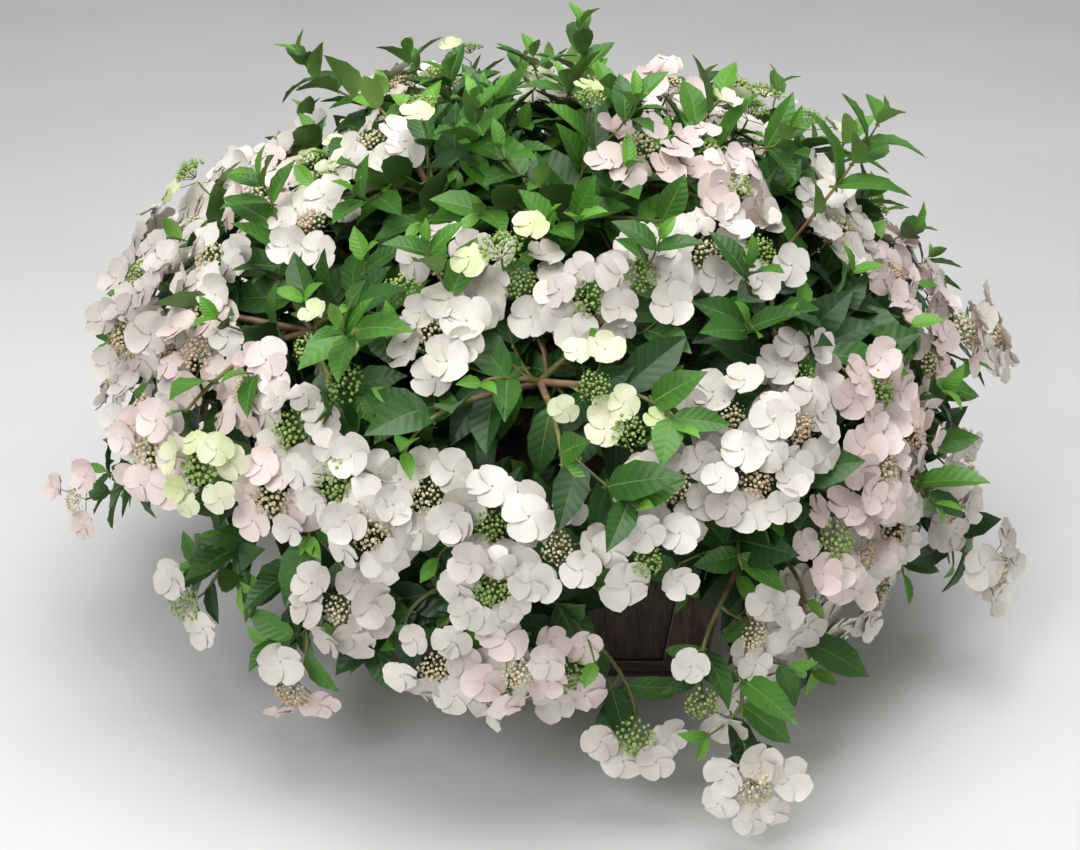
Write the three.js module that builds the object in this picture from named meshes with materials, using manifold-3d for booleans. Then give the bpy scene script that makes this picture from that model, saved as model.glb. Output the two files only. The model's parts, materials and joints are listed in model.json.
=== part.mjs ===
// A trailing lacecap hydrangea, grown as one clump in a plain tapered timber planter.
// Millimetres, +Z up. The origin is the middle of the planter's underside, and the front faces -Y.
// Canes rise from a woody stool in the soil. Each carries one mass of foliage: a stem that branches
// by a seeded rule into arching twigs, with opposite leaves and flat lacecap flower heads on them.

import * as THREE from "three";
import { mergeVertices } from "three/addons/utils/BufferGeometryUtils.js";
import Module from "manifold-3d";

const wasm = await Module();
wasm.setup();

// ---- Driving dimensions ----

const GAP = 0.3; // between pieces that touch

const PLANTER_HEIGHT = 270;
const PLANTER_BASE_HALF = 176; // half the width across the posts, at the underside
const PLANTER_TOP_HALF = 208; // and under the rim
const FLOOR_THICKNESS = 22;
const WALL_THICKNESS = 18;
const WALL_SETBACK = 5; // walls sit this far behind the faces of the posts
const POST_WIDTH = 48;
const BOARDS_PER_WALL = 3;
const BOARD_JOINT = 4; // width and depth of the V between two boards
const RIM_THICKNESS = 20;
const RIM_WIDTH = 62;
const RIM_OVERHANG = 10;
const SOIL_BELOW_RIM = 38;

const STOOL_FLARE_RADIUS = 50;
const STOOL_NECK_RADIUS = 33;
const STOOL_HEAD_RADIUS = 37;
const STOOL_HEAD_HEIGHT = 48; // of the head's middle, above the soil
const STOOL_UNDERCUT = 30; // degrees below level at which the head rounds in to the neck
const STOOL_SIDES = 20;

const CROWN_SPREAD = 468; // radius at its widest
const CROWN_WAIST = 290; // height of its widest level
const CROWN_TOP = 628;
const CROWN_CENTRE = 230; // height of the point that leaves and flowers face away from
const SKIRT_TUCK = 0.25; // how far the outline draws in at the floor, as a share of the spread
const DOME_ROUNDNESS = 0.8; // 0.5 for an ellipse over the waist, more for a flatter shoulder
const GROUND_CLEAR = 10; // the lowest foliage stays this far above the floor
const TIP_LEAF_REACH = 58; // the last leaves of a twig reach this far past its tip

const CANE_ROOT_RADIUS = 6.2;
const CANE_TIP_RADIUS = 4.2;
const CANE_SIDES = 5;
const CANE_STEPS = 5;
const TWIG_ROOT_RADIUS = 4;
const TWIG_TIP_RADIUS = 2.4;
const STALK_RADIUS = 2.2;
const STEM_BEND = 0.45; // how far a stem runs straight on from its cane, as a share of its length
const TWIG_BEND = 0.35; // the same at both ends of a twig
const TWIG_LEAVES = [0.3, 0.97]; // shares of a twig at its first and last pair of leaves
const HEART_BARE = 0.8; // share of the heart's size inside which no leaf is made

const LEAF_LENGTH = 112;
const LEAF_WIDTH = 58;
const LEAF_THICKNESS = 3;
const LEAF_STEP = 50; // between pairs of leaves along a twig
const LEAF_FOLD = 0.3; // rise of a leaf's edge above its midrib, as a share of half its width
const LEAF_DROOP = 0.14; // fall of its tip, as a share of its length
const NECK_WIDTH = 7; // of the joint between a pair of leaves, inside the twig
const NECK_THICKNESS = 3.4;
const LEAF_ROOM = 38; // the least distance between the middles of two leaves
const FLORET_RADIUS = 31;
const FLORETS_PER_HEAD = 3;
const HEAD_RADIUS = 15; // of the knob of small fertile flowers
const HEAD_STALK = 42;

// Between two bearings at the front the foliage is open, so that the planter's wall shows from above.
const WINDOW = {
  bearings: [-82, -63],
  slope: 0.53, // rise of its top and bottom for each unit out from the wall
  wallRadius: 185,
  tallAtWall: 132,
};

// On the left the skirt is short: between two bearings its twigs end at this height or over it, and the
// hem drops away over a few degrees at either end.
const SHORT_SKIRT = { bearings: [172, 250], hem: 292, ease: 14 };

const MASS_CLEAR = 1.2; // each mass stays this far inside its own space
const LIMB_CLEAR = 4; // and its leaves this far off the canes and the planter

// The canes stand in three rings round the stool. For each ring: how many, where the first points, how
// steeply they leave the stool, where a cane ends and its mass begins, the middle of the mass's space,
// and the mass's dense heart, which its twigs fork from. Each twig has a turn from the cane's own
// bearing, the height of its tip, and how steeply it points there. Bearings, turns and pitches are in
// degrees, and bearings go round from +X towards +Y.
const RINGS = [
  {
    name: "skirt",
    count: 9,
    bearing: -94,
    leave: 8,
    caneEnd: { radius: 258, height: 312, pitch: 4 },
    middle: { radius: 330, height: 244 },
    heart: { radius: 336, height: 256, radial: 78, across: 114, tall: 80 },
    heads: 3,
    twigs: [
      { turn: -12, height: 172, pitch: -66 },
      { turn: 1, height: 146, pitch: -68 },
      { turn: 13, height: 196, pitch: -58 },
      { turn: -10, height: 246, pitch: -40 },
      { turn: 8, height: 304, pitch: -20 },
    ],
  },
  {
    name: "shoulder",
    count: 7,
    bearing: -90,
    leave: 38,
    caneEnd: { radius: 178, height: 372, pitch: 36 },
    middle: { radius: 286, height: 412 },
    heart: { radius: 282, height: 408, radial: 80, across: 124, tall: 70 },
    heads: 3,
    twigs: [
      { turn: -18, height: 362, pitch: -34 },
      { turn: 1, height: 346, pitch: -38 },
      { turn: 19, height: 372, pitch: -28 },
      { turn: -11, height: 448, pitch: 8 },
      { turn: 12, height: 474, pitch: 20 },
    ],
  },
  {
    name: "top",
    count: 5,
    bearing: -80,
    leave: 64,
    caneEnd: { radius: 66, height: 426, pitch: 60 },
    middle: { radius: 110, height: 498 },
    heart: { radius: 116, height: 494, radial: 92, across: 94, tall: 56 },
    heads: 2,
    twigs: [
      { turn: -25, height: 536, pitch: 12 },
      { turn: 4, height: 548, pitch: 20 },
      { turn: 27, height: 540, pitch: 15 },
      { turn: -12, height: 592, pitch: 45 },
      { turn: 24, height: 616, pitch: 72 },
    ],
  },
];

// Twigs that run out past the even outline, by the mass that bears them.
const LONG_TWIGS = {
  skirt_1: [
    { bearing: -103, radius: 436, height: 140, pitch: -70 },
    { bearing: -77, radius: 432, height: 60, pitch: -60 },
  ],
  skirt_2: [
    { bearing: -69, radius: 446, height: 96, pitch: -66 },
    { bearing: -66, radius: 508, height: 42, pitch: -56 },
  ],
  skirt_3: [
    { bearing: -20, radius: 524, height: 104, pitch: -40 },
    { bearing: 1, radius: 516, height: 322, pitch: 8 },
  ],
  skirt_8: [{ bearing: 193, radius: 536, height: 172, pitch: -12 }],
  skirt_9: [
    { bearing: 214, radius: 446, height: 98, pitch: -50 },
    { bearing: 236, radius: 436, height: 78, pitch: -62 },
  ],
  shoulder_3: [{ bearing: 3, radius: 356, height: 588, pitch: 52 }],
  top_2: [
    { bearing: 13, radius: 90, height: 648, pitch: 74 },
    { bearing: 12, radius: 236, height: 624, pitch: 48 },
  ],
  top_5: [
    { bearing: 172, radius: 150, height: 650, pitch: 70 },
    { bearing: 176, radius: 218, height: 618, pitch: 40 },
  ],
};

// ---- Shared geometry ----

const PLANTER_CLEARANCE = new THREE.BoxGeometry(
  2 * (PLANTER_TOP_HALF + RIM_OVERHANG + LIMB_CLEAR),
  2 * (PLANTER_TOP_HALF + RIM_OVERHANG + LIMB_CLEAR),
  2 * (PLANTER_HEIGHT + LIMB_CLEAR),
);

const UP = new THREE.Vector3(0, 0, 1);
const DEG = Math.PI / 180;

const COLOURS = {
  timber: new THREE.MeshStandardMaterial({ color: 0x4a3428, roughness: 0.8, metalness: 0 }),
  soil: new THREE.MeshStandardMaterial({ color: 0x2b1f18, roughness: 1, metalness: 0 }),
  bark: new THREE.MeshStandardMaterial({ color: 0x7a5a3c, roughness: 0.85, metalness: 0 }),
  foliage: new THREE.MeshStandardMaterial({ color: 0x3f7a34, roughness: 0.55, metalness: 0 }),
};

// The same stream of numbers from 0 to 1 for the same seed.
function seeded(seed) {
  let state = seed >>> 0;
  return () => {
    state = (state + 0x6d2b79f5) >>> 0;
    let t = Math.imul(state ^ (state >>> 15), state | 1);
    t ^= t + Math.imul(t ^ (t >>> 7), t | 61);
    return ((t ^ (t >>> 14)) >>> 0) / 4294967296;
  };
}

function geometryFrom(points, triangles) {
  const geometry = new THREE.BufferGeometry().setFromPoints(points);
  return geometry.setIndex(triangles.flat());
}

// The closed solid of a geometry, for joining with others.
function solidOf(geometry) {
  const bare = geometry.clone();
  bare.deleteAttribute("normal");
  bare.deleteAttribute("uv");
  const merged = mergeVertices(bare, 1e-3);
  return new wasm.Manifold(
    new wasm.Mesh({
      numProp: 3,
      vertProperties: merged.attributes.position.array,
      triVerts: new Uint32Array(merged.index.array),
    }),
  );
}

// The largest body among solids joined into one; scraps that touch nothing are dropped.
function joined(solids) {
  const bodies = wasm.Manifold.union(solids).decompose();
  const largest = bodies.reduce((a, b) => (b.volume() > a.volume() ? b : a));
  const { vertProperties, triVerts } = largest.getMesh();
  return new THREE.BufferGeometry()
    .setAttribute("position", new THREE.BufferAttribute(vertProperties, 3))
    .setIndex(new THREE.BufferAttribute(triVerts, 1));
}

// A point at a bearing and a distance from the plant's axis.
function around(bearing, radius, height) {
  return new THREE.Vector3(
    radius * Math.cos(bearing * DEG),
    radius * Math.sin(bearing * DEG),
    height,
  );
}

// The direction at a bearing, pitched up or down from level.
function pointing(bearing, pitch) {
  return around(bearing, Math.cos(pitch * DEG), Math.sin(pitch * DEG));
}

// A round limb along a curve, tapering from one radius to the other, closed at both ends.
function limb(curve, rootRadius, tipRadius, sides, steps) {
  const frames = curve.computeFrenetFrames(steps, false);
  const points = [];
  for (let i = 0; i <= steps; i++) {
    const radius = THREE.MathUtils.lerp(rootRadius, tipRadius, i / steps);
    const centre = curve.getPointAt(i / steps);
    for (let j = 0; j < sides; j++) {
      const turn = (2 * Math.PI * j) / sides;
      points.push(
        centre
          .clone()
          .addScaledVector(frames.normals[i], radius * Math.cos(turn))
          .addScaledVector(frames.binormals[i], radius * Math.sin(turn)),
      );
    }
  }
  const triangles = [];
  for (let i = 0; i < steps; i++) {
    for (let j = 0; j < sides; j++) {
      const a = i * sides + j;
      const b = i * sides + ((j + 1) % sides);
      triangles.push([a, b, b + sides], [a, b + sides, a + sides]);
    }
  }
  for (let j = 1; j < sides - 1; j++) {
    const last = steps * sides;
    triangles.push([0, j + 1, j], [last, last + j, last + j + 1]);
  }
  return geometryFrom(points, triangles);
}

// A solid between two outlines of as many points, one at each height.
function loft(lower, upper, lowerHeight, upperHeight) {
  const n = lower.length;
  const points = [
    ...lower.map((p) => new THREE.Vector3(p.x, p.y, lowerHeight)),
    ...upper.map((p) => new THREE.Vector3(p.x, p.y, upperHeight)),
  ];
  const caps = THREE.ShapeUtils.triangulateShape(lower, []);
  const triangles = caps.flatMap(([a, b, c]) => [
    [a, c, b],
    [a + n, b + n, c + n],
  ]);
  for (let i = 0; i < n; i++) {
    const j = (i + 1) % n;
    triangles.push([i, j, j + n], [i, j + n, i + n]);
  }
  return geometryFrom(points, triangles);
}

// ---- Planter ----

const RIM_UNDERSIDE = PLANTER_HEIGHT - RIM_THICKNESS;
const SOIL_TOP = PLANTER_HEIGHT - SOIL_BELOW_RIM;

function planterHalf(height) {
  const share = Math.min(Math.max(height / RIM_UNDERSIDE, 0), 1);
  return THREE.MathUtils.lerp(PLANTER_BASE_HALF, PLANTER_TOP_HALF, share);
}

// A piece of the planter whose plan outline follows the taper, from one height to another.
function taperedPiece(outlineAt, lowerHeight, upperHeight) {
  return loft(outlineAt(lowerHeight), outlineAt(upperHeight), lowerHeight, upperHeight);
}

function floorOutline(height) {
  const half = planterHalf(height);
  return [
    [-half, -half],
    [half, -half],
    [half, half],
    [-half, half],
  ].map(([x, y]) => new THREE.Vector2(x, y));
}

// The corner post at the end of a front wall.
function postOutline(height) {
  const half = planterHalf(height);
  const inner = half - POST_WIDTH;
  return [
    [inner, -half],
    [half, -half],
    [half, -inner],
    [inner, -inner],
  ].map(([x, y]) => new THREE.Vector2(x, y));
}

// The front wall's boards, edge to edge, with a V-shaped joint between each two.
function wallOutline(height) {
  const half = planterHalf(height);
  const face = -half + WALL_SETBACK;
  const end = half - POST_WIDTH - GAP;
  const outline = [new THREE.Vector2(-end, face)];
  for (let board = 1; board < BOARDS_PER_WALL; board++) {
    const x = -end + (2 * end * board) / BOARDS_PER_WALL;
    outline.push(
      new THREE.Vector2(x - BOARD_JOINT / 2, face),
      new THREE.Vector2(x, face + BOARD_JOINT),
      new THREE.Vector2(x + BOARD_JOINT / 2, face),
    );
  }
  const back = face + WALL_THICKNESS;
  outline.push(
    new THREE.Vector2(end, face),
    new THREE.Vector2(end, back),
    new THREE.Vector2(-end, back),
  );
  return outline;
}

// The front board of the rim, mitred at both ends.
function rimOutline() {
  const outer = PLANTER_TOP_HALF + RIM_OVERHANG;
  const inner = outer - RIM_WIDTH;
  return [
    [-outer + GAP, -outer],
    [outer - GAP, -outer],
    [inner - GAP, -inner],
    [-inner + GAP, -inner],
  ].map(([x, y]) => new THREE.Vector2(x, y));
}

// Soil fills the planter, notched round the four posts.
function soilOutline(height) {
  const wall = planterHalf(height) - WALL_SETBACK - WALL_THICKNESS - GAP;
  const post = planterHalf(height) - POST_WIDTH - GAP;
  const notch = [
    [post, -wall],
    [post, -post],
    [wall, -post],
  ].map(([x, y]) => new THREE.Vector2(x, y));
  const outline = [];
  for (let quarter = 0; quarter < 4; quarter++) {
    const turn = (quarter * Math.PI) / 2;
    outline.push(...notch.map((p) => p.clone().rotateAround(new THREE.Vector2(), turn)));
  }
  return outline;
}

function buildPlanter(plant) {
  const add = (parent, name, geometry, material) => {
    const mesh = new THREE.Mesh(geometry, material);
    mesh.name = name;
    parent.add(mesh);
  };
  add(plant, "planter_floor", taperedPiece(floorOutline, 0, FLOOR_THICKNESS), COLOURS.timber);
  ["front", "right", "back", "left"].forEach((side, quarter) => {
    const group = new THREE.Group();
    group.rotation.z = (quarter * Math.PI) / 2;
    const bottom = FLOOR_THICKNESS + GAP;
    const top = RIM_UNDERSIDE - GAP;
    add(group, `planter_wall_${side}`, taperedPiece(wallOutline, bottom, top), COLOURS.timber);
    add(group, `planter_post_${quarter + 1}`, taperedPiece(postOutline, bottom, top), COLOURS.timber);
    const rim = loft(rimOutline(), rimOutline(), RIM_UNDERSIDE, PLANTER_HEIGHT);
    add(group, `planter_rim_${side}`, rim, COLOURS.timber);
    plant.add(group);
  });
  const soil = taperedPiece(soilOutline, FLOOR_THICKNESS + GAP, SOIL_TOP);
  add(plant, "soil", soil, COLOURS.soil);
}

// ---- Stool and canes ----

const STOOL_FOOT = SOIL_TOP + GAP;
const STOOL_HEAD = new THREE.Vector3(0, 0, SOIL_TOP + STOOL_HEAD_HEIGHT);

// The woody stool that all the canes rise from: a flare at the soil, a neck, and a round head.
function stoolGeometry() {
  const lowest = -STOOL_UNDERCUT * DEG;
  const neck = STOOL_HEAD.z + STOOL_HEAD_RADIUS * Math.sin(lowest);
  const profile = [
    new THREE.Vector2(0, STOOL_FOOT),
    new THREE.Vector2(STOOL_FLARE_RADIUS, STOOL_FOOT),
    new THREE.Vector2((STOOL_FLARE_RADIUS + 2 * STOOL_NECK_RADIUS) / 3, (STOOL_FOOT + neck) / 2),
  ];
  const arcSteps = 7;
  for (let i = 0; i <= arcSteps; i++) {
    const angle = THREE.MathUtils.lerp(lowest, Math.PI / 2, i / arcSteps);
    const radius = i === arcSteps ? 0 : STOOL_HEAD_RADIUS * Math.cos(angle);
    profile.push(new THREE.Vector2(radius, STOOL_HEAD.z + STOOL_HEAD_RADIUS * Math.sin(angle)));
  }
  return new THREE.LatheGeometry(profile, STOOL_SIDES).rotateX(Math.PI / 2);
}

// A cane leaves the stool's head square to its surface and arches out to where its mass begins.
function caneCurve(ring, bearing) {
  const { radius, height, pitch } = ring.caneEnd;
  const end = around(bearing, radius, height);
  const rise = pointing(bearing, ring.leave);
  const start = STOOL_HEAD.clone().addScaledVector(rise, STOOL_HEAD_RADIUS + GAP);
  const third = start.distanceTo(end) / 3;
  return new THREE.CubicBezierCurve3(
    start,
    start.clone().addScaledVector(rise, third),
    end.clone().addScaledVector(pointing(bearing, pitch), -third),
    end,
  );
}

function listMasses() {
  return RINGS.flatMap((ring, ringIndex) =>
    Array.from({ length: ring.count }, (_, i) => {
      const bearing = ring.bearing + (360 / ring.count) * i;
      return {
        name: `${ring.name}_${i + 1}`,
        ring,
        bearing,
        seed: 100 * (ringIndex + 1) + i,
        cane: caneCurve(ring, bearing),
        middle: around(bearing, ring.middle.radius, ring.middle.height),
      };
    }),
  );
}

// ---- Foliage ----

// The crown's even outline: its radius at a height.
function crownRadius(height) {
  if (height < CROWN_WAIST) {
    return CROWN_SPREAD * (1 - SKIRT_TUCK * ((CROWN_WAIST - height) / CROWN_WAIST) ** 2);
  }
  const rise = Math.min((height - CROWN_WAIST) / (CROWN_TOP - CROWN_WAIST), 1);
  return CROWN_SPREAD * (1 - rise ** 2) ** DOME_ROUNDNESS;
}

// The least height at which an even twig ends, at a bearing.
function hemAt(bearing) {
  const [low, high] = SHORT_SKIRT.bearings;
  const turn = THREE.MathUtils.euclideanModulo(bearing, 360);
  const within = Math.min(turn - low, high - turn) / SHORT_SKIRT.ease;
  return SHORT_SKIRT.hem * THREE.MathUtils.clamp(within, 0, 1);
}

// Which way the crown faces at a point: out from its middle.
function crownFacing(point) {
  return new THREE.Vector3(point.x, point.y, point.z - CROWN_CENTRE).normalize();
}

function distanceToSegment(point, start, end) {
  const nearest = new THREE.Vector3();
  new THREE.Line3(start, end).closestPointToPoint(point, true, nearest);
  return nearest.distanceTo(point);
}

// Whether a point lies in the opening where the planter shows.
function inWindow(point) {
  const [low, high] = WINDOW.bearings;
  const bearing = Math.atan2(point.y, point.x) / DEG;
  const radius = Math.hypot(point.x, point.y);
  const bottom = WINDOW.slope * (radius - WINDOW.wallRadius);
  return bearing > low && bearing < high && point.z > bottom && point.z < bottom + WINDOW.tallAtWall;
}

// Whether a point of a mass is in that mass's own space: nearer to its middle than to any other's,
// above the floor, clear of the canes and the planter, and outside the opening at the front, which a
// bare twig may cross.
function spaceOf(mass, masses) {
  const planes = masses
    .filter((other) => other !== mass)
    .map((other) => {
      const across = other.middle.clone().sub(mass.middle);
      const half = other.middle.clone().add(mass.middle).multiplyScalar(0.5);
      return new THREE.Plane().setFromNormalAndCoplanarPoint(across.normalize(), half);
    });
  const limbs = masses.map((other) => other.cane.getPoints(6));
  return (point, clearance, mayCross = false) => {
    if (point.z < GROUND_CLEAR + clearance || (inWindow(point) && !mayCross)) return false;
    if (planes.some((plane) => plane.distanceToPoint(point) > -MASS_CLEAR - clearance)) return false;
    const margin = LIMB_CLEAR + clearance;
    const atRim = point.z > RIM_UNDERSIDE - margin;
    const half = atRim ? PLANTER_TOP_HALF + RIM_OVERHANG : planterHalf(point.z);
    const beside = Math.max(Math.abs(point.x), Math.abs(point.y)) < half + margin;
    if (beside && point.z < PLANTER_HEIGHT + margin) return false;
    return limbs.every((line) =>
      line.every((p, i) => i === 0 || distanceToSegment(point, line[i - 1], p) > CANE_ROOT_RADIUS + margin),
    );
  };
}

// Right, forward and up axes for a leaf or flower that points forward and faces up.
function axesFor(forward, facing) {
  const y = forward.clone().normalize();
  const z = facing.clone().addScaledVector(y, -facing.dot(y)).normalize();
  return new THREE.Matrix4().makeBasis(new THREE.Vector3().crossVectors(y, z), y, z);
}

// The outline of one leaf of a pair, from where it leaves the twig: the four points round its widest
// place, and its tip. It is folded up along its midrib and droops at its tip. The four points start on
// the edge that lies towards the twig's tip, and go round in the same sense on either side of the twig.
function leafPoints(root, along, forward, facing, length) {
  const half = ((LEAF_WIDTH / LEAF_LENGTH) * length) / 2;
  const widest = 0.44 * length;
  const place = axesFor(forward, facing).setPosition(root);
  const outer = new THREE.Vector3().setFromMatrixColumn(place, 0).dot(along) > 0 ? half : -half;
  return [
    [outer, widest, LEAF_FOLD * half],
    [0, widest, LEAF_THICKNESS / 2],
    [-outer, widest, LEAF_FOLD * half],
    [0, widest, -LEAF_THICKNESS / 2],
    [0, length, -LEAF_DROOP * length],
  ].map(([x, y, z]) => new THREE.Vector3(x, y, z).applyMatrix4(place));
}

// Two opposite leaves as one solid, joined by a neck that runs through the twig.
function leafPair(node, along, facing, [near, far]) {
  const neck = [
    along.clone().multiplyScalar(NECK_WIDTH / 2),
    facing.clone().multiplyScalar(NECK_THICKNESS / 2),
    along.clone().multiplyScalar(-NECK_WIDTH / 2),
    facing.clone().multiplyScalar(-NECK_THICKNESS / 2),
  ].map((p) => p.add(node));
  const points = [...near.slice(0, 4), ...neck, ...far.slice(0, 4), near[4], far[4]];
  const triangles = [];
  for (let i = 0; i < 4; i++) {
    const j = (i + 1) % 4;
    triangles.push([j, i, 12], [8 + i, 8 + j, 13]);
    for (const ring of [0, 4]) {
      const [a, b, c, d] = [ring + i, ring + j, ring + 4 + j, ring + 4 + i];
      // Both faces of a blade are split from its edge at the neck, so neither crosses the other.
      const fromFirst = (i % 2 === 0) === (ring === 4);
      triangles.push(...(fromFirst ? [[a, b, c], [a, c, d]] : [[a, b, d], [b, c, d]]));
    }
  }
  return geometryFrom(points, triangles);
}

// A sterile floret of four broad sepals: eight points round two peaks, cupped towards the way it faces.
function floretPoints(centre, facing, turn, radius) {
  const forward = new THREE.Vector3(Math.cos(turn), Math.sin(turn), 0.31);
  const place = axesFor(forward, facing).setPosition(centre);
  const points = [];
  for (let sepal = 0; sepal < 4; sepal++) {
    for (const [offset, reach, lift] of [
      [0, 1, 0.1],
      [45, 0.64, 0],
    ]) {
      const angle = (90 * sepal + offset) * DEG;
      points.push(
        new THREE.Vector3(reach * Math.cos(angle), reach * Math.sin(angle), lift).multiplyScalar(radius),
      );
    }
  }
  points.push(new THREE.Vector3(0, 0, 0.02 * radius), new THREE.Vector3(0, 0, -0.13 * radius));
  return points.map((p) => p.applyMatrix4(place));
}

const FLORET_FACES = Array.from({ length: 8 }, (_, i) => {
  const next = (i + 1) % 8;
  return [
    [i, next, 8],
    [next, i, 9],
  ];
}).flat();

// One mass: its stem, its twigs, and what they bear.
function massGeometry(mass, masses) {
  const random = seeded(mass.seed);
  const spread = (size) => (2 * random() - 1) * size;
  const fits = spaceOf(mass, masses);
  const solids = [];
  const taken = [];
  const hasRoom = (point, room) => taken.every((other) => other.distanceTo(point) > room);

  // The stem starts in line with the cane and ends in the middle of the heart.
  const { radius, height, radial, across, tall } = mass.ring.heart;
  const heart = around(mass.bearing, radius, height);
  const stemForward = mass.cane.getTangentAt(1);
  const stemStart = mass.cane.getPointAt(1).addScaledVector(stemForward, GAP);
  const bend = stemStart.clone().addScaledVector(stemForward, STEM_BEND * stemStart.distanceTo(heart));
  const stem = new THREE.QuadraticBezierCurve3(stemStart, bend, heart);
  solids.push(solidOf(limb(stem, CANE_TIP_RADIUS, TWIG_ROOT_RADIUS, CANE_SIDES, 3)));

  // Whether a point is in the heart, where no leaf is needed.
  const inHeart = (point) => {
    const local = point.clone().sub(heart).applyAxisAngle(UP, -mass.bearing * DEG);
    return local.divide(new THREE.Vector3(radial, across, tall)).length() < HEART_BARE;
  };

  // Two opposite leaves, each as long as there is room for, or neither.
  const addLeafPair = (node, along, facing, side, size, outward) => {
    const leaves = [-1, 1].map((hand) => {
      const forward = side
        .clone()
        .multiplyScalar(hand * outward)
        .addScaledVector(along, 0.6 + spread(0.2))
        .addScaledVector(facing, 0.15 + spread(0.2));
      const tilted = facing.clone().addScaledVector(side, spread(0.4));
      return [1, 0.8, 0.62]
        .map((share) => leafPoints(node, along, forward, tilted, share * size))
        .find((points) => hasRoom(points[1], LEAF_ROOM) && points.every((p) => fits(p, 0)));
    });
    if (!leaves.every(Boolean)) return;
    solids.push(solidOf(leafPair(node, along, facing, leaves)));
    taken.push(...leaves.map((points) => points[1]));
  };

  // A lacecap: a stalk, a knob of fertile flowers, and sterile florets round it.
  const addHead = (root, forward, facing) => {
    const centre = root.clone().addScaledVector(forward, HEAD_STALK);
    if (!fits(centre, HEAD_RADIUS) || !hasRoom(centre, LEAF_ROOM)) return false;
    taken.push(centre);
    solids.push(solidOf(limb(new THREE.LineCurve3(root, centre), STALK_RADIUS, STALK_RADIUS, 3, 1)));
    const knob = new THREE.OctahedronGeometry(HEAD_RADIUS, 0)
      .scale(1, 1, 0.7)
      .applyMatrix4(axesFor(new THREE.Vector3(1, 0.2, 0.1), facing))
      .translate(centre.x, centre.y, centre.z);
    solids.push(solidOf(knob));
    const start = random() * 360;
    const frame = axesFor(new THREE.Vector3(1, 0.2, 0.1), facing);
    for (let i = 0; i < FLORETS_PER_HEAD; i++) {
      const angle = (start + (360 * i) / FLORETS_PER_HEAD) * DEG;
      const out = new THREE.Vector3(Math.cos(angle), Math.sin(angle), 0).applyMatrix4(frame);
      const middle = centre.clone().addScaledVector(out, 0.98 * FLORET_RADIUS).addScaledVector(facing, 3);
      const lean = facing.clone().addScaledVector(out, 0.35).normalize();
      const points = floretPoints(middle, lean, random() * 6, FLORET_RADIUS);
      if (points.every((p) => fits(p, 0))) {
        solids.push(solidOf(geometryFrom(points, FLORET_FACES)));
        taken.push(middle);
      }
    }
    return true;
  };

  const evenTwigs = mass.ring.twigs.map(({ turn, height, pitch }) => {
    const bearing = mass.bearing + turn;
    const tipHeight = Math.max(height + spread(14), hemAt(bearing));
    return {
      bearing: bearing + spread(3),
      height: tipHeight,
      radius: crownRadius(tipHeight) * (1 + spread(0.05)),
      pitch,
      long: false,
    };
  });
  const longTwigs = (LONG_TWIGS[mass.name] ?? []).map((twig) => ({ ...twig, long: true }));

  let headsLeft = mass.ring.heads + longTwigs.length;
  for (const twig of [...longTwigs, ...evenTwigs]) {
    const tipForward = pointing(twig.bearing, twig.pitch);
    const reach = around(twig.bearing, twig.radius, twig.height);
    const tip = reach.addScaledVector(tipForward, -TIP_LEAF_REACH);
    const length = heart.distanceTo(tip);
    const away = tip.clone().sub(heart).normalize().add(stemForward).setLength(TWIG_BEND * length);
    const curve = new THREE.CubicBezierCurve3(
      heart,
      heart.clone().add(away),
      tip.clone().addScaledVector(tipForward, -TWIG_BEND * length),
      tip,
    );
    const arc = curve.getLength();
    const clearTo = [1, 0.9, 0.8, 0.7, 0.6].find((end) =>
      [0.4, 0.6, 0.8, 1].every((share) =>
        fits(curve.getPointAt(end * share), TWIG_ROOT_RADIUS, twig.long),
      ),
    );
    if (!clearTo) continue;
    const kept = new THREE.CatmullRomCurve3(
      Array.from({ length: 7 }, (_, i) => curve.getPointAt((clearTo * i) / 6)),
    );
    solids.push(solidOf(limb(kept, TWIG_ROOT_RADIUS, TWIG_TIP_RADIUS, 3, 3)));

    const pairs = Math.max(2, Math.round((0.72 * arc * clearTo) / LEAF_STEP));
    for (let pair = 0; pair <= pairs; pair++) {
      const share = THREE.MathUtils.lerp(...TWIG_LEAVES, pair / pairs);
      const node = kept.getPointAt(share);
      if (inHeart(node)) continue;
      const along = kept.getTangentAt(share);
      const facing = crownFacing(node).addScaledVector(UP, 0.5).normalize();
      const side = new THREE.Vector3().crossVectors(along, facing).normalize();
      const size = LEAF_LENGTH * (0.85 + 0.25 * random());
      addLeafPair(node, along, facing, side, size, pair === pairs ? 0.55 : 0.95);
      const bearsHead = headsLeft > 0 && (pair === pairs - 1 || (twig.long && pair === pairs));
      if (bearsHead) {
        const rise = facing.clone().addScaledVector(along, 0.35).addScaledVector(side, spread(0.3));
        const tilted = facing.clone().addScaledVector(side, spread(0.3));
        if (addHead(node, rise.normalize(), tilted.normalize())) headsLeft--;
      }
    }
  }

  // The heart is a rounded lump, drawn in wherever it would leave the mass's space.
  const lump = mergeVertices(
    new THREE.IcosahedronGeometry(1, 0).deleteAttribute("normal").deleteAttribute("uv"),
    1e-4,
  );
  lump.scale(radial, across, tall).rotateZ(mass.bearing * DEG);
  const position = lump.getAttribute("position");
  for (let i = 0; i < position.count; i++) {
    const ray = new THREE.Vector3().fromBufferAttribute(position, i).multiplyScalar(1 + spread(0.1));
    let share = 1;
    while (share > 0.3 && !fits(heart.clone().addScaledVector(ray, share), 1)) share -= 0.05;
    const point = heart.clone().addScaledVector(ray, share);
    position.setXYZ(i, point.x, point.y, point.z);
  }
  solids.push(solidOf(lump).subtract(solidOf(PLANTER_CLEARANCE)));
  return joined(solids);
}

// ---- The plant ----

const plant = new THREE.Group();
buildPlanter(plant);

const stool = new THREE.Mesh(stoolGeometry(), COLOURS.bark);
stool.name = "stool";
plant.add(stool);

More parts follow.
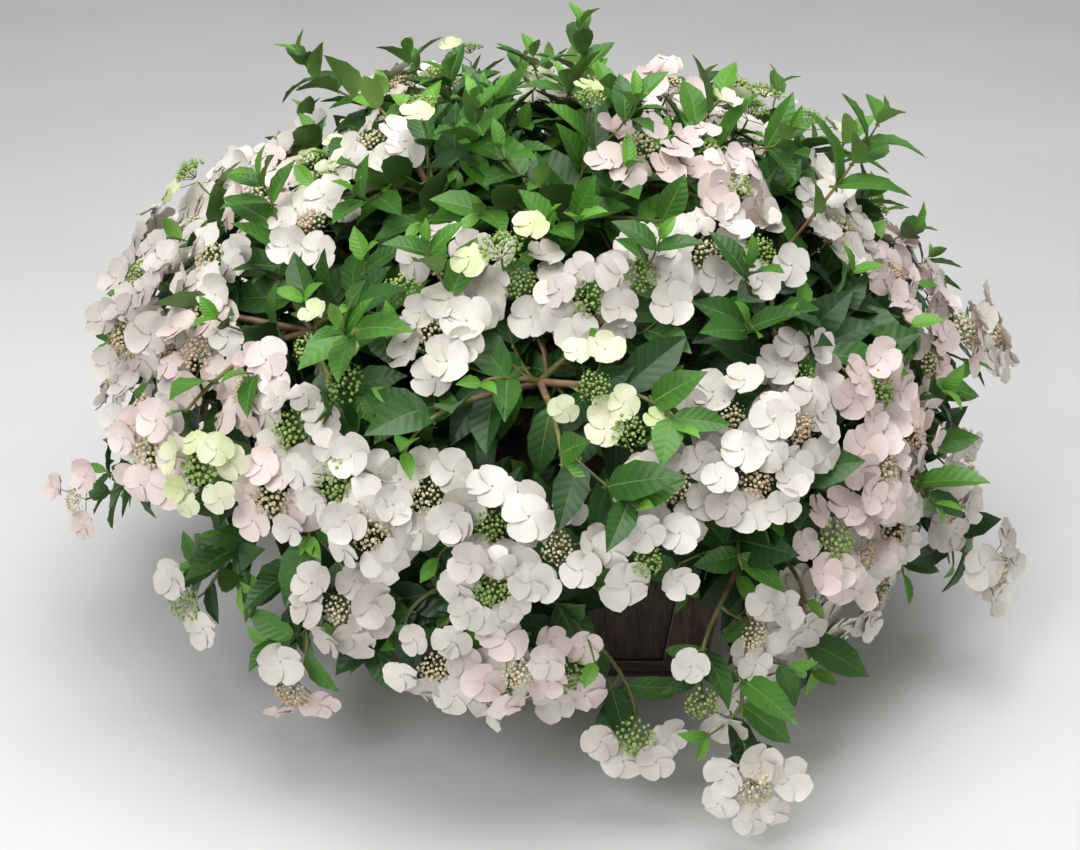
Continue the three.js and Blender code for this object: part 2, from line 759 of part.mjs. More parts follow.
const masses = listMasses();
for (const mass of masses) {
  const caneLimb = limb(mass.cane, CANE_ROOT_RADIUS, CANE_TIP_RADIUS, CANE_SIDES, CANE_STEPS);
  const cane = new THREE.Mesh(caneLimb, COLOURS.bark);
  cane.name = `cane_${mass.name}`;
  const foliage = new THREE.Mesh(massGeometry(mass, masses), COLOURS.foliage);
  foliage.name = `foliage_${mass.name}`;
  plant.add(cane, foliage);
}

export default plant;
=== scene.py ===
# A trailing lacecap hydrangea in a tapered timber planter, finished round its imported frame.
# Metres, +Z up, and the front faces -Y. The sections follow the order in which the real thing comes
# together: planter, soil, stool, canes, then the growth, and the twigs, leaves and flowers it bears.

import json
import math
from types import SimpleNamespace

import bmesh
import bpy
from mathutils import Matrix, Vector, noise

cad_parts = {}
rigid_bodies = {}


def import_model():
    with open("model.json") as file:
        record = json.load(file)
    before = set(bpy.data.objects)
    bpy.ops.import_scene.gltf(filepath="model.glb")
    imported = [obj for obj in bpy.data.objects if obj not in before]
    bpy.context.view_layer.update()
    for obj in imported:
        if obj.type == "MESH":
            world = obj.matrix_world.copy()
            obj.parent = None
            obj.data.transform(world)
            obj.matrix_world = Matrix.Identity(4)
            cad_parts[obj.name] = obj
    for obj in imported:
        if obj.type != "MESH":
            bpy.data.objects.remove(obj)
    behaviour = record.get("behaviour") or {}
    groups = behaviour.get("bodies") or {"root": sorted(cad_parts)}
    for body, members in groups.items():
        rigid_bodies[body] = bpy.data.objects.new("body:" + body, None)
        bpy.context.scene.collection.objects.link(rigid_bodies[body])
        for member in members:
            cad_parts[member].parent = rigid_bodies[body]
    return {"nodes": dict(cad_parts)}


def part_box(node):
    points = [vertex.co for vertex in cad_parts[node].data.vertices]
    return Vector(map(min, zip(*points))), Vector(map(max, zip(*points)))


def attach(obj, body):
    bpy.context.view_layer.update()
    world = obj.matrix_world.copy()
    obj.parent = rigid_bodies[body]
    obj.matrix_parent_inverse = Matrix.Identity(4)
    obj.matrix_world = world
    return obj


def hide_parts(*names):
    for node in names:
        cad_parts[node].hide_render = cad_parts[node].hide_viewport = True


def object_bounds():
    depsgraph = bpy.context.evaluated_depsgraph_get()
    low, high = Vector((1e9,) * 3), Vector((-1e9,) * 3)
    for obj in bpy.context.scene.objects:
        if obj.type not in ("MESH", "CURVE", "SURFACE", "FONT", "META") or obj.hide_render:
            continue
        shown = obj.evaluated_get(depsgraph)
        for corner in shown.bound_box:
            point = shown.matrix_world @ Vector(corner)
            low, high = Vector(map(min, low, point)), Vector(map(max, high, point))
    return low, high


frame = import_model()
cad_low, cad_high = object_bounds()


# ==== Planter boards ====
# A square planter of dark-stained softwood: three boards to a wall between four raked corner posts,
# on a floor board, under a rim of four mitred boards. The saw edges are rounded and worn paler.

BOARD_EDGE = 0.0016
BOARDS_PER_WALL = 3
SIDES = ("front", "right", "back", "left")
GRAINS = {"upright": (70, 70, 5), "along_x": (5, 70, 70), "along_y": (70, 5, 70)}
TIMBER_DARK = (0.036, 0.019, 0.013, 1)
TIMBER_PALE = (0.125, 0.082, 0.060, 1)
TIMBER_WORN = (0.205, 0.150, 0.115, 1)


def feed(node, inputs):
    """Sets inputs of a node to constants, or links them from other nodes' outputs."""
    for name, value in inputs.items():
        if isinstance(value, bpy.types.NodeSocket):
            node.id_data.links.new(value, node.inputs[name])
        else:
            node.inputs[name].default_value = value


def add(tree, kind, inputs, out=0, **settings):
    """One output, by its name or number, of a new node."""
    node = tree.nodes.new(kind)
    for name, value in settings.items():
        setattr(node, name, value)
    feed(node, inputs)
    return node.outputs[out]


def maths(tree, operation, *values, **settings):
    return add(tree, "ShaderNodeMath", dict(enumerate(values)), operation=operation, **settings)


def ranged(tree, value, low, high, start=0, end=1, **settings):
    """A value brought from the range between start and end to the one between low and high."""
    spans = {"Value": value, "From Min": start, "From Max": end, "To Min": low, "To Max": high}
    return add(tree, "ShaderNodeMapRange", spans, **settings)


def blended(tree, share, first, second):
    """The colour between two colours at a share."""
    return add(tree, "ShaderNodeMix", {"Factor": share, 6: first, 7: second}, 2, data_type="RGBA")


def bumped(tree, height, strength, distance):
    """The normal of a surface in relief."""
    inputs = {"Height": height, "Strength": strength, "Distance": distance}
    return add(tree, "ShaderNodeBump", inputs)


def grouped(tree, group, inputs):
    """The outputs of a shader group at work in a tree."""
    return add(tree, "ShaderNodeGroup", inputs, node_tree=group).node.outputs


def new_group(kind, name, inputs, outputs):
    """An empty group of shader or geometry nodes: its tree, what comes in, and the node for what goes
    out."""
    tree = bpy.data.node_groups.new(name, kind + "NodeTree")
    for side, sockets in (("INPUT", inputs), ("OUTPUT", outputs)):
        for label, socket in sockets.items():
            tree.interface.new_socket(label, in_out=side, socket_type="NodeSocket" + socket)
    return tree, tree.nodes.new("NodeGroupInput").outputs, tree.nodes.new("NodeGroupOutput")


def streaks_group():
    """Fibres drawn out along one axis, as in sawn timber and in bark."""
    inputs = {"Vector": "Vector", "Fineness": "Float"}
    tree, given, made = new_group("Shader", "streaks", inputs, {"Streaks": "Float", "Relief": "Float"})
    finer = maths(tree, "MULTIPLY", given["Fineness"], 4.0)
    broad = {"Vector": given["Vector"], "Scale": given["Fineness"], "Detail": 5.0, "Distortion": 0.6}
    thin = {"Vector": given["Vector"], "Scale": finer, "Detail": 3.0, "Roughness": 0.65}
    both = maths(tree, "ADD", *(add(tree, "ShaderNodeTexNoise", fibres) for fibres in (broad, thin)))
    feed(made, {"Streaks": ranged(tree, both, 0, 1, 0.72, 1.28), "Relief": both})
    return tree


def new_material(name):
    """A material, its tree and shader, and the place that its patterns are read from."""
    material = bpy.data.materials.new(name)
    material.use_nodes = True
    tree = material.node_tree
    place = add(tree, "ShaderNodeTexCoord", {}, "Object")
    return material, tree, tree.nodes["Principled BSDF"], place


def timber(name, stretch, dark, pale):
    """Stained timber, with its grain along the axis of the smallest stretch."""
    material, tree, shader, place = new_material(name)
    along = add(tree, "ShaderNodeMapping", {"Vector": place, "Scale": stretch})
    grain = grouped(tree, STREAKS, {"Vector": along, "Fineness": 1.0})
    board = add(tree, "ShaderNodeAttribute", {}, "Fac", attribute_name="board")
    streaked = blended(tree, grain["Streaks"], dark, pale)
    toned = {"Value": ranged(tree, board, 0.62, 1.25), "Color": streaked}
    finish = {
        "Base Color": add(tree, "ShaderNodeHueSaturation", toned),
        "Roughness": ranged(tree, grain["Streaks"], 0.9, 0.66),
        "Normal": bumped(tree, grain["Relief"], 0.55, 0.0012),
    }
    feed(shader, finish)
    return material


def seeded(seed):
    """The same stream of numbers from 0 to 1 for the same seed."""
    state = seed

    def draw():
        nonlocal state
        state = (state + 0x6D2B79F5) & 0xFFFFFFFF
        mixed = (state ^ state >> 15) * (state | 1) & 0xFFFFFFFF
        mixed ^= mixed + (mixed ^ mixed >> 7) * (mixed | 61) & 0xFFFFFFFF
        return (mixed ^ mixed >> 14) / 2**32

    return draw


def linked(name, data):
    """A new object that holds a mesh, a light or a camera, in the scene."""
    made = bpy.data.objects.new(name, data)
    bpy.context.scene.collection.objects.link(made)
    return made


def merged_copy(node_name, piece_name):
    """A CAD node's shape as a new object, with its doubles merged and its flat faces whole."""
    mesh = frame["nodes"][node_name].data.copy()
    mesh.name = piece_name
    mesh.materials.clear()
    form = bmesh.new()
    form.from_mesh(mesh)
    bmesh.ops.remove_doubles(form, verts=form.verts, dist=1e-5)
    bmesh.ops.dissolve_limit(form, angle_limit=0.01, verts=form.verts, edges=form.edges)
    form.to_mesh(mesh)
    form.free()
    return linked(piece_name, mesh)


def evaluated(source, name):
    """The plain mesh that an object's modifiers make, as an object in its stead."""
    depsgraph = bpy.context.evaluated_depsgraph_get()
    mesh = bpy.data.meshes.new_from_object(source.evaluated_get(depsgraph), depsgraph=depsgraph)
    bpy.data.objects.remove(source)
    mesh.name = name
    return linked(name, mesh)


def settle(piece, slot, *nodes):
    """A finished piece stands on the plant's one body, in place of the nodes that it renders."""
    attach(piece, "root")
    if nodes:
        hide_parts(*nodes)


STREAKS = streaks_group()
TIMBERS = {name: timber("timber_" + name, GRAINS[name], TIMBER_DARK, TIMBER_PALE) for name in GRAINS}
TIMBER_EDGES = timber("timber_worn_edges", (60, 60, 60), TIMBER_PALE, TIMBER_WORN)


def planter_piece(node_name, grain, seed, boards=1, axis=0):
    """One board or wall of the planter, with rounded edges and a stain of its own on each board."""
    name = node_name + "_timber"
    piece = merged_copy(node_name, name)
    piece.data.materials.append(TIMBERS[grain])
    piece.data.materials.append(TIMBER_EDGES)
    rounding = piece.modifiers.new("rounded edges", "BEVEL")
    rounding.width = BOARD_EDGE
    rounding.segments = 2
    rounding.limit_method = "ANGLE"
    rounding.material = 1
    rounding.harden_normals = True
    piece = evaluated(piece, name)
    low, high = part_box(node_name)
    draw = seeded(seed)
    stains = [draw() for _ in range(boards)]
    stain = piece.data.attributes.new("board", "FLOAT", "FACE")
    for face in piece.data.polygons:
        share = (face.center[axis] - low[axis]) / (high[axis] - low[axis])
        stain.data[face.index].value = stains[min(int(share * boards), boards - 1)]
    settle(piece, "planter_timber", node_name)


planter_piece("planter_floor", "along_x", 11)
for quarter, side in enumerate(SIDES):
    wall_axis = quarter % 2
    planter_piece(f"planter_wall_{side}", "upright", 21 + quarter, BOARDS_PER_WALL, wall_axis)
    planter_piece(f"planter_post_{quarter + 1}", "upright", 31 + quarter)
    planter_piece(f"planter_rim_{side}", ("along_x", "along_y")[wall_axis], 41 + quarter)


# ==== Soil ====
# Peaty potting soil, filled to a little below the rim. It has settled unevenly, and crumbs of it and
# of bark lie loose on top.

SOIL_GRID = 0.012
SOIL_ROUGHNESS = 0.006
CRUMB_SIZES = (0.0016, 0.0052)
CRUMBS_PER_SQUARE_METRE = 5200
FLAT = 0.9
# The socket by which a shape comes into a tree of Geometry Nodes, and goes out.
GEOMETRY = {"Geometry": "Geometry"}


def mottle_group():
    """Two colours in soft patches, broken up by finer specks."""
    inputs = {"Vector": "Vector", "Deep": "Color", "Fresh": "Color", "Patches": "Float", "Specks": "Float"}
    outputs = {"Colour": "Color", "Patchiness": "Float", "Relief": "Float"}
    tree, given, made = new_group("Shader", "mottle", inputs, outputs)
    wide = {"Vector": given["Vector"], "Scale": given["Patches"], "Detail": 2.0}
    fine = {"Vector": given["Vector"], "Scale": given["Specks"], "Detail": 3.0}
    patches, specks = (add(tree, "ShaderNodeTexNoise", scale) for scale in (wide, fine))
    patchiness = ranged(tree, patches, 0, 1, 0.34, 0.66)
    shifted = maths(tree, "SUBTRACT", specks, 0.5)
    share = maths(tree, "MULTIPLY_ADD", shifted, 0.5, patchiness, use_clamp=True)
    colour = blended(tree, share, given["Deep"], given["Fresh"])
    feed(made, {"Colour": colour, "Patchiness": patchiness, "Relief": specks})
    return tree


MOTTLE = mottle_group()


def mottled(name, deep, fresh, patches, specks, rough, relief=0, **finish):
    """A material of two mottled colours, with its relief in metres and its shader's own constants."""
    material, tree, shader, place = new_material(name)
    inputs = {"Vector": place, "Deep": (*deep, 1), "Fresh": (*fresh, 1), "Patches": patches, "Specks": specks}
    pattern = grouped(tree, MOTTLE, inputs)
    feed(shader, {"Base Color": pattern["Colour"], "Roughness": ranged(tree, pattern["Relief"], *rough)})
    if relief:
        feed(shader, {"Normal": bumped(tree, pattern["Relief"], 0.6, relief)})
    feed(shader, {label.replace("_", " "): value for label, value in finish.items()})
    return material


def grown(source, name, tree, inputs):
    """What a Geometry Nodes tree makes of an object, as a plain mesh in its stead."""
    modifier = source.modifiers.new(tree.name, "NODES")
    modifier.node_group = tree
    for socket in tree.interface.items_tree:
        if socket.in_out == "INPUT" and socket.name in inputs:
            modifier[socket.identifier] = inputs[socket.name]
    return evaluated(source, name)


def made_real(tree, geometry, finish):
    """Geometry with its instances made real, in one material."""
    real = add(tree, "GeometryNodeRealizeInstances", {0: geometry})
    return add(tree, "GeometryNodeSetMaterial", {"Geometry": real, "Material": finish})


def crumbs_tree():
    """Lumps strewn over the faces that look up."""
    inputs = {"Density": "Float", "Smallest": "Float", "Largest": "Float", "Finish": "Material"}
    tree, given, made = new_group("Geometry", "crumbs", {**GEOMETRY, **inputs}, GEOMETRY)

    def random_vector(low, high, seed):
        spread = {0: low, 1: high, "Seed": seed}
        return add(tree, "FunctionNodeRandomValue", spread, data_type="FLOAT_VECTOR")

    normal = add(tree, "GeometryNodeInputNormal", {})
    height = add(tree, "ShaderNodeSeparateXYZ", {0: normal}, "Z")
    upward = add(tree, "FunctionNodeCompare", {0: height, 1: 0.7}, operation="GREATER_THAN")
    strewn = {"Mesh": given["Geometry"], "Selection": upward, "Density": given["Density"], "Seed": 5}
    size = {2: given["Smallest"], 3: given["Largest"], "Seed": 7}
    sized = add(tree, "FunctionNodeRandomValue", size, 1)
    scale = {0: random_vector((0.7, 0.55, 0.4), (1.4, 1.0, 0.8), 8), "Scale": sized}
    lumps = {
        "Points": add(tree, "GeometryNodeDistributePointsOnFaces", strewn),
        "Instance": add(tree, "GeometryNodeMeshIcoSphere", {"Radius": 1.0, "Subdivisions": 1}),
        "Rotation": random_vector((0, 0, 0), (6.28, 6.28, 6.28), 6),
        "Scale": add(tree, "ShaderNodeVectorMath", scale, operation="SCALE"),
    }
    laid = add(tree, "GeometryNodeInstanceOnPoints", lumps)
    feed(made, {0: made_real(tree, laid, given["Finish"])})
    return tree


def settled_soil():
    """The soil's own solid, with its top cut into a fine grid and left uneven."""
    soil = merged_copy("soil", "potting_soil")
    low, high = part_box("soil")
    form = bmesh.new()
    form.from_mesh(soil.data)
    for axis, across in enumerate((Vector((1, 0, 0)), Vector((0, 1, 0)))):
        for step in range(1, int((high[axis] - low[axis]) / SOIL_GRID)):
            point = across * (low[axis] + step * SOIL_GRID)
            whole = form.verts[:] + form.edges[:] + form.faces[:]
            bmesh.ops.bisect_plane(form, geom=whole, plane_co=point, plane_no=across)
    for vert in form.verts:
        inside = all(abs(face.normal.z) > FLAT for face in vert.link_faces)
        if inside and vert.co.z > high.z - 1e-4:
            lumps = noise.fractal(vert.co * 38, 1, 2.1, 4)
            vert.co.z -= SOIL_ROUGHNESS * (0.55 - 0.5 * lumps)
    form.to_mesh(soil.data)
    form.free()
    soil.data.shade_smooth()
    return soil


soil = settled_soil()
peat = mottled("peat", (0.012, 0.008, 0.006), (0.05, 0.033, 0.023), 40, 420, (0.92, 1.0), 0.003)
soil.data.materials.append(peat)
crumbly = mottled("crumbs", (0.03, 0.018, 0.012), (0.14, 0.085, 0.05), 60, 500, (0.85, 1.0))
crumb_inputs = {"Density": CRUMBS_PER_SQUARE_METRE, "Smallest": CRUMB_SIZES[0], "Largest": CRUMB_SIZES[1]}
bare = linked("soil_crumbs", soil.data.copy())
crumbs = grown(bare, "soil_crumbs", crumbs_tree(), {**crumb_inputs, "Finish": crumbly})
settle(soil, "potting_soil", "soil")
settle(crumbs, "potting_soil")


# ==== Stool ====
# The woody stool that the canes spring from: a flare at the soil, a neck, and a knuckled round head,
# in flaking grey-brown bark.

STOOL_SIDES = 44
STOOL_FURROWS = 0.0022
STOOL_HEAD_RADIUS = 0.037
STOOL_FLARE = 0.05
STOOL_NECK = 0.034
BARK_DEEP = (0.085, 0.05, 0.03)
BARK_PALE = (0.33, 0.225, 0.14)
DEG = math.pi / 180
UP = Vector((0, 0, 1))
STOOL_NECK_RINGS = 6
STOOL_HEAD_RINGS = 12
STOOL_HEAD_ARC = (-30 * DEG, 88 * DEG)
stool_low, stool_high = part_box("stool")
STOOL_HEAD = Vector((0, 0, stool_high.z - STOOL_HEAD_RADIUS))


def spoke(turn, across=Vector((1, 0, 0)), other=Vector((0, 1, 0))):
    """A step of length one, at a turn from one direction towards another."""
    return across * math.cos(turn) + other * math.sin(turn)


def bark():
    """Bark whose fibres run along the limb, on a map of its girth and length in metres."""
    material, tree, shader, place = new_material("hydrangea_bark")
    girth = add(tree, "ShaderNodeUVMap", {}, uv_map="limb")
    along = add(tree, "ShaderNodeMapping", {"Vector": girth, "Scale": (420, 42, 1)})
    fibres = grouped(tree, STREAKS, {"Vector": along, "Fineness": 1.0})
    colours = {"Deep": (*BARK_DEEP, 1), "Fresh": (*BARK_PALE, 1)}
    patches = grouped(tree, MOTTLE, {"Vector": place, "Patches": 45, "Specks": 300, **colours})
    darker = (*(0.4 * c for c in BARK_DEEP), 1)
    finish = {
        "Base Color": blended(tree, fibres["Streaks"], darker, patches["Colour"]),
        "Roughness": ranged(tree, patches["Patchiness"], 0.95, 0.75),
        "Normal": bumped(tree, fibres["Relief"], 0.7, 0.0012),
    }
    feed(shader, finish)
    return material


def ringed_mesh(name, rings, wraps):
    """A closed mesh through rings of equally many points, with its ends closed over by fans.
    Each ring is its points and its distance along the limb; wraps is the girth in metres."""
    sides = len(rings[0][0])
    points = [p for ring, _ in rings for p in ring]
    ends = [sum(ring, Vector()) / sides for ring, _ in (rings[0], rings[-1])]
    faces, maps = [], []
    for i in range(len(rings) - 1):
        near, far = rings[i][1], rings[i + 1][1]
        for j in range(sides):
            a, b = i * sides + j, i * sides + (j + 1) % sides
            faces.append((a, b, b + sides, a + sides))
            left, right = wraps * j / sides, wraps * (j + 1) / sides
            maps += [(left, near), (right, near), (right, far), (left, far)]
    last = (len(rings) - 1) * sides
    for j in range(sides):
        k = (j + 1) % sides
        faces += [(k, j, len(points)), (last + j, last + k, len(points) + 1)]
        maps += [(wraps * j / sides, rings[0][1])] * 3 + [(wraps * j / sides, rings[-1][1])] * 3
    mesh = bpy.data.meshes.new(name)
    mesh.from_pydata(points + ends, [], faces)
    mesh.uv_layers.new(name="limb").data.foreach_set("uv", [c for place in maps for c in place])
    mesh.materials.append(BARK)
    mesh.shade_smooth()
    return mesh


def stool_profile():
    """The stool's radius and height at each ring, from the flare up over the head."""
    first, last = STOOL_HEAD_ARC
    neck_z = STOOL_HEAD.z + STOOL_HEAD_RADIUS * math.sin(first)
    profile = [(STOOL_FLARE, stool_low.z), (STOOL_FLARE * 0.985, stool_low.z + 0.002)]
    for step in range(1, STOOL_NECK_RINGS):
        share = step / STOOL_NECK_RINGS
        radius = STOOL_NECK + (STOOL_FLARE - STOOL_NECK) * (1 - share) ** 2.2
        profile.append((radius, stool_low.z + (neck_z - stool_low.z) * share))
    for step in range(STOOL_HEAD_RINGS + 1):
        angle = first + (last - first) * step / STOOL_HEAD_RINGS
        up = STOOL_HEAD_RADIUS * math.sin(angle)
        profile.append((STOOL_HEAD_RADIUS * math.cos(angle), STOOL_HEAD.z + up))
    return profile


def stool_ring(radius, height):
    """The stool's outline at a height, with its furrows and burrs."""
    ring = []
    for j in range(STOOL_SIDES):
        out = spoke(2 * math.pi * j / STOOL_SIDES)
        furrow = noise.fractal(out * 9 + UP * height * 40, 1, 2, 3)
        burr = noise.noise(out * 2.3 + UP * height * 30)
        inset = STOOL_FURROWS * (furrow + 1.2 * burr - 1)
        ring.append(out * max(radius + inset, 0.0008) + UP * height)
    return ring


BARK = bark()
profile = stool_profile()
rings, travelled = [], 0
for i, place in enumerate(profile):
    if i:
        travelled += math.dist(profile[i - 1], place)
    rings.append((stool_ring(*place), travelled))
stump = linked("stool_bark", ringed_mesh("stool_bark", rings, 2 * math.pi * STOOL_NECK))
settle(stump, "cane_bark", "stool")


# ==== Canes ====
# Twenty-one woody canes in three rings leave the stool square to its surface and arch out to where
# the foliage begins. Each swells a little at its old leaf joints.

# For each ring: how many canes, the first one's bearing, the pitch at which they leave, where they end
# (radius, height, pitch), the middle and heart of their masses, and their main twigs' turns, heights
# and pitches.
RINGS = {
    "skirt": SimpleNamespace(
        count=9, bearing=-94, leave=8, cane_end=(0.258, 0.312, 4),
        middle=(0.330, 0.244), heart=(0.336, 0.256),
        twigs=[(-12, 0.172, -66), (1, 0.146, -68), (13, 0.196, -58), (-10, 0.246, -40), (8, 0.304, -20)],
    ),
    "shoulder": SimpleNamespace(
        count=7, bearing=-90, leave=38, cane_end=(0.178, 0.372, 36),
        middle=(0.286, 0.412), heart=(0.282, 0.408),
        twigs=[(-18, 0.362, -34), (1, 0.346, -38), (19, 0.372, -28), (-11, 0.448, 8), (12, 0.474, 20)],
    ),
    "top": SimpleNamespace(
        count=5, bearing=-80, leave=64, cane_end=(0.066, 0.426, 60),
        middle=(0.110, 0.498), heart=(0.116, 0.494),
        twigs=[(-25, 0.536, 12), (4, 0.548, 20), (27, 0.540, 15), (-12, 0.592, 45), (24, 0.616, 72)],
    ),
}
CANE_RADII = (0.0062, 0.0042)
CANE_SIDES = 10
CANE_STEPS = 44
JOINT_STEP = 0.052
JOINT_SWELLING = 0.0011
JOINT_REACH = 0.006
GAP = 0.0003


def around(bearing, radius, height):
    """A point at a bearing and a distance from the plant's axis."""
    return Vector((radius * math.cos(bearing * DEG), radius * math.sin(bearing * DEG), height))


def pointing(bearing, pitch):
    """The direction at a bearing, pitched up or down from level."""
    return around(bearing, math.cos(pitch * DEG), math.sin(pitch * DEG))


def lengths_of(points):
    """The distance travelled at each point of a path."""
    travelled = [0.0]
    for a, b in zip(points, points[1:]):
        travelled.append(travelled[-1] + (b - a).length)
    return travelled


def evenly(points, count, share=1.0):
    """A path, or its first share, as count + 1 points at equal distances."""
    travelled = lengths_of(points)
    made, i = [], 0
    for step in range(count + 1):
        goal = travelled[-1] * share * step / count
        while i < len(points) - 2 and travelled[i + 1] < goal:
            i += 1
        stretch = travelled[i + 1] - travelled[i] or 1
        made.append(points[i].lerp(points[i + 1], (goal - travelled[i]) / stretch))
    return made


def bezier(controls, count=60):
    """Points along a Bezier curve of three or four control points."""
    made = []
    for step in range(count + 1):
        level = list(controls)
        while len(level) > 1:
            level = [a.lerp(b, step / count) for a, b in zip(level, level[1:])]
        made.append(level[0])
    return made


def cane_path(ring, bearing):
    radius, height, pitch = ring.cane_end
    end = around(bearing, radius, height)
    rise = pointing(bearing, ring.leave)
    start = STOOL_HEAD + rise * (STOOL_HEAD_RADIUS + GAP)
    third = (end - start).length / 3
    return bezier([start, start + rise * third, end - pointing(bearing, pitch) * third, end])


def mass_list():
    """The masses of foliage in order, each with its cane and the middle of its own space."""
    masses = []
    for ring_index, (ring_name, ring) in enumerate(RINGS.items()):
        for i in range(ring.count):
            mass = SimpleNamespace(name=f"{ring_name}_{i + 1}", ring=ring)
            mass.bearing = ring.bearing + 360 / ring.count * i
            mass.seed = 100 * (ring_index + 1) + i
            mass.cane = cane_path(ring, mass.bearing)
            mass.middle = around(mass.bearing, *ring.middle)
            masses.append(mass)
    return masses


def cane_mesh(name, path, seed):
    """A cane with ridged bark and swollen joints."""
    points = evenly(path, CANE_STEPS)
    travelled = lengths_of(points)
    phase = seeded(seed)() * JOINT_STEP
    across = (points[1] - points[0]).orthogonal().normalized()
    rings = []
    for i, point in enumerate(points):
        ahead = (points[min(i + 1, CANE_STEPS)] - points[max(i - 1, 0)]).normalized()
        across = (across - ahead * across.dot(ahead)).normalized()
        other = ahead.cross(across)
        radius = CANE_RADII[0] + (CANE_RADII[1] - CANE_RADII[0]) * i / CANE_STEPS
        from_joint = (travelled[i] + phase + JOINT_STEP / 2) % JOINT_STEP - JOINT_STEP / 2
        radius += JOINT_SWELLING * math.exp(-((from_joint / JOINT_REACH) ** 2))
        ring = []
        for j in range(CANE_SIDES):
            out = spoke(2 * math.pi * j / CANE_SIDES, across, other)
            ridge = noise.noise(out * 2.5 + Vector((0, travelled[i] * 22, seed)))
            ring.append(point + out * radius * (1 + 0.1 * ridge))
        rings.append((ring, travelled[i]))
    return ringed_mesh(name, rings, 2 * math.pi * CANE_RADII[0])


masses = mass_list()
for mass in masses:
    name = f"bark_{mass.name}"
    settle(linked(name, cane_mesh(name, mass.cane, mass.seed)), "cane_bark", f"cane_{mass.name}")


# ==== Growth ====
# From the end of each cane a stem runs on, forks into main twigs by the frame's seeded rule, and these
# fork again into shoots that fill the crown. Leaves stand in opposite pairs; a shoot ends in young
# leaves or in a flat lacecap head.

CROWN_SPREAD = 0.468
CROWN_WAIST = 0.290
CROWN_TOP = 0.628
CROWN_CENTRE = Vector((0, 0, 0.230))
SKIRT_EDGE = 0.165
LOW_SKIRT = (-62, -16)
LOW_SKIRT_EDGE = 0.095
SHORT_SKIRT = (172, 250)
SHORT_HEM = 0.292
HEM_EASE = 14
GROUND_CLEAR = 0.010
LEAF_GROUND_CLEAR = 0.006
MASS_CLEAR = 0.0012
LIMB_CLEAR = 0.004
BOX_ROOM = 0.022
TIP_LEAF_REACH = 0.058
TWIG_RADII = (0.004, 0.0016)
WINDOW_BEARINGS = (-82, -63)
WINDOW_SLOPE = 0.53
WINDOW_WALL = 0.185
WINDOW_TALL = 0.132
# Main twigs that run out past the outline: bearing, radius, height and pitch.
LONG_TWIGS = {
    "skirt_1": [(-103, 0.436, 0.140, -70), (-77, 0.432, 0.060, -60)],
    "skirt_2": [(-69, 0.446, 0.096, -66), (-66, 0.508, 0.042, -56)],
    "skirt_3": [(-20, 0.524, 0.104, -40), (1, 0.516, 0.322, 8)],
    "skirt_8": [(193, 0.536, 0.172, -12)],
    "skirt_9": [(214, 0.446, 0.098, -50), (236, 0.436, 0.078, -62)],
    "shoulder_3": [(3, 0.356, 0.588, 52)],
    "top_2": [(13, 0.090, 0.648, 74), (12, 0.236, 0.624, 48)],
    "top_5": [(172, 0.150, 0.650, 70), (176, 0.218, 0.618, 40)],
}
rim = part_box("planter_rim_front")[1]


def crown_radius(height):
    """The crown's even outline: its radius at a height."""
    if height < CROWN_WAIST:
        return CROWN_SPREAD * (1 - 0.25 * ((CROWN_WAIST - height) / CROWN_WAIST) ** 2)
    rise = min((height - CROWN_WAIST) / (CROWN_TOP - CROWN_WAIST), 1)
    return CROWN_SPREAD * (1 - rise**2) ** 0.8


def crown_at(bearing, height):
    """The point of the even outline at a bearing and a height."""
    return around(bearing, crown_radius(height), height)


def on_crown(direction):
    """The point of the even outline in a direction from the crown's centre."""
    near, far = 0.1, 0.8
    for _ in range(18):
        middle = (near + far) / 2
        point = CROWN_CENTRE + direction * middle
        inside = point.z < CROWN_TOP and math.hypot(point.x, point.y) < crown_radius(point.z)
        near, far = (middle, far) if inside else (near, middle)
    return CROWN_CENTRE + direction * near


def crown_facing(point):
    """Which way the crown faces at a point: out from its middle."""
    return (point - CROWN_CENTRE).normalized()


def tip_forward(point, lift):
    """Which way a shoot points where it reaches the outline: up at the top, and down in the skirt."""
    rise = max(-0.9, min((point.z - 0.36) / 0.2, 1)) + lift
    return (crown_facing(point) + UP * rise).normalized()


def hem_at(bearing):
    """The least height at which an even twig ends: the skirt is short on the left."""
    turn = bearing % 360
    within = min(turn - SHORT_SKIRT[0], SHORT_SKIRT[1] - turn) / HEM_EASE
    return SHORT_HEM * max(0, min(within, 1))


def skirt_edge(bearing):
    """How low the even shoots reach: lower on the right of the front."""
    turn = (bearing + 180) % 360 - 180
    return LOW_SKIRT_EDGE if LOW_SKIRT[0] < turn < LOW_SKIRT[1] else SKIRT_EDGE


def in_window(point):
    """Whether a point lies in the opening where the planter shows."""
    bearing = math.atan2(point.y, point.x) / DEG
    bottom = WINDOW_SLOPE * (math.hypot(point.x, point.y) - WINDOW_WALL)
    between = WINDOW_BEARINGS[0] < bearing < WINDOW_BEARINGS[1]
    return between and bottom < point.z < bottom + WINDOW_TALL


def off_planter(point, margin):
    return max(abs(point.x), abs(point.y)) > rim.x + margin or point.z > rim.z + margin


def open_air(point, height, margin, may_cross):
    """Whether a point is off the ground and the planter, and not in the opening unless it may be."""
    return point.z >= height and off_planter(point, margin) and (may_cross or not in_window(point))


def clear(point, margin, may_cross=False):
    """Whether foliage may be at a point. Only what a trailer bears may cross the opening."""
    if not open_air(point, LEAF_GROUND_CLEAR + margin, margin, may_cross):
        return False
    return all(cad_low[k] - BOX_ROOM < point[k] < cad_high[k] + BOX_ROOM for k in range(3))


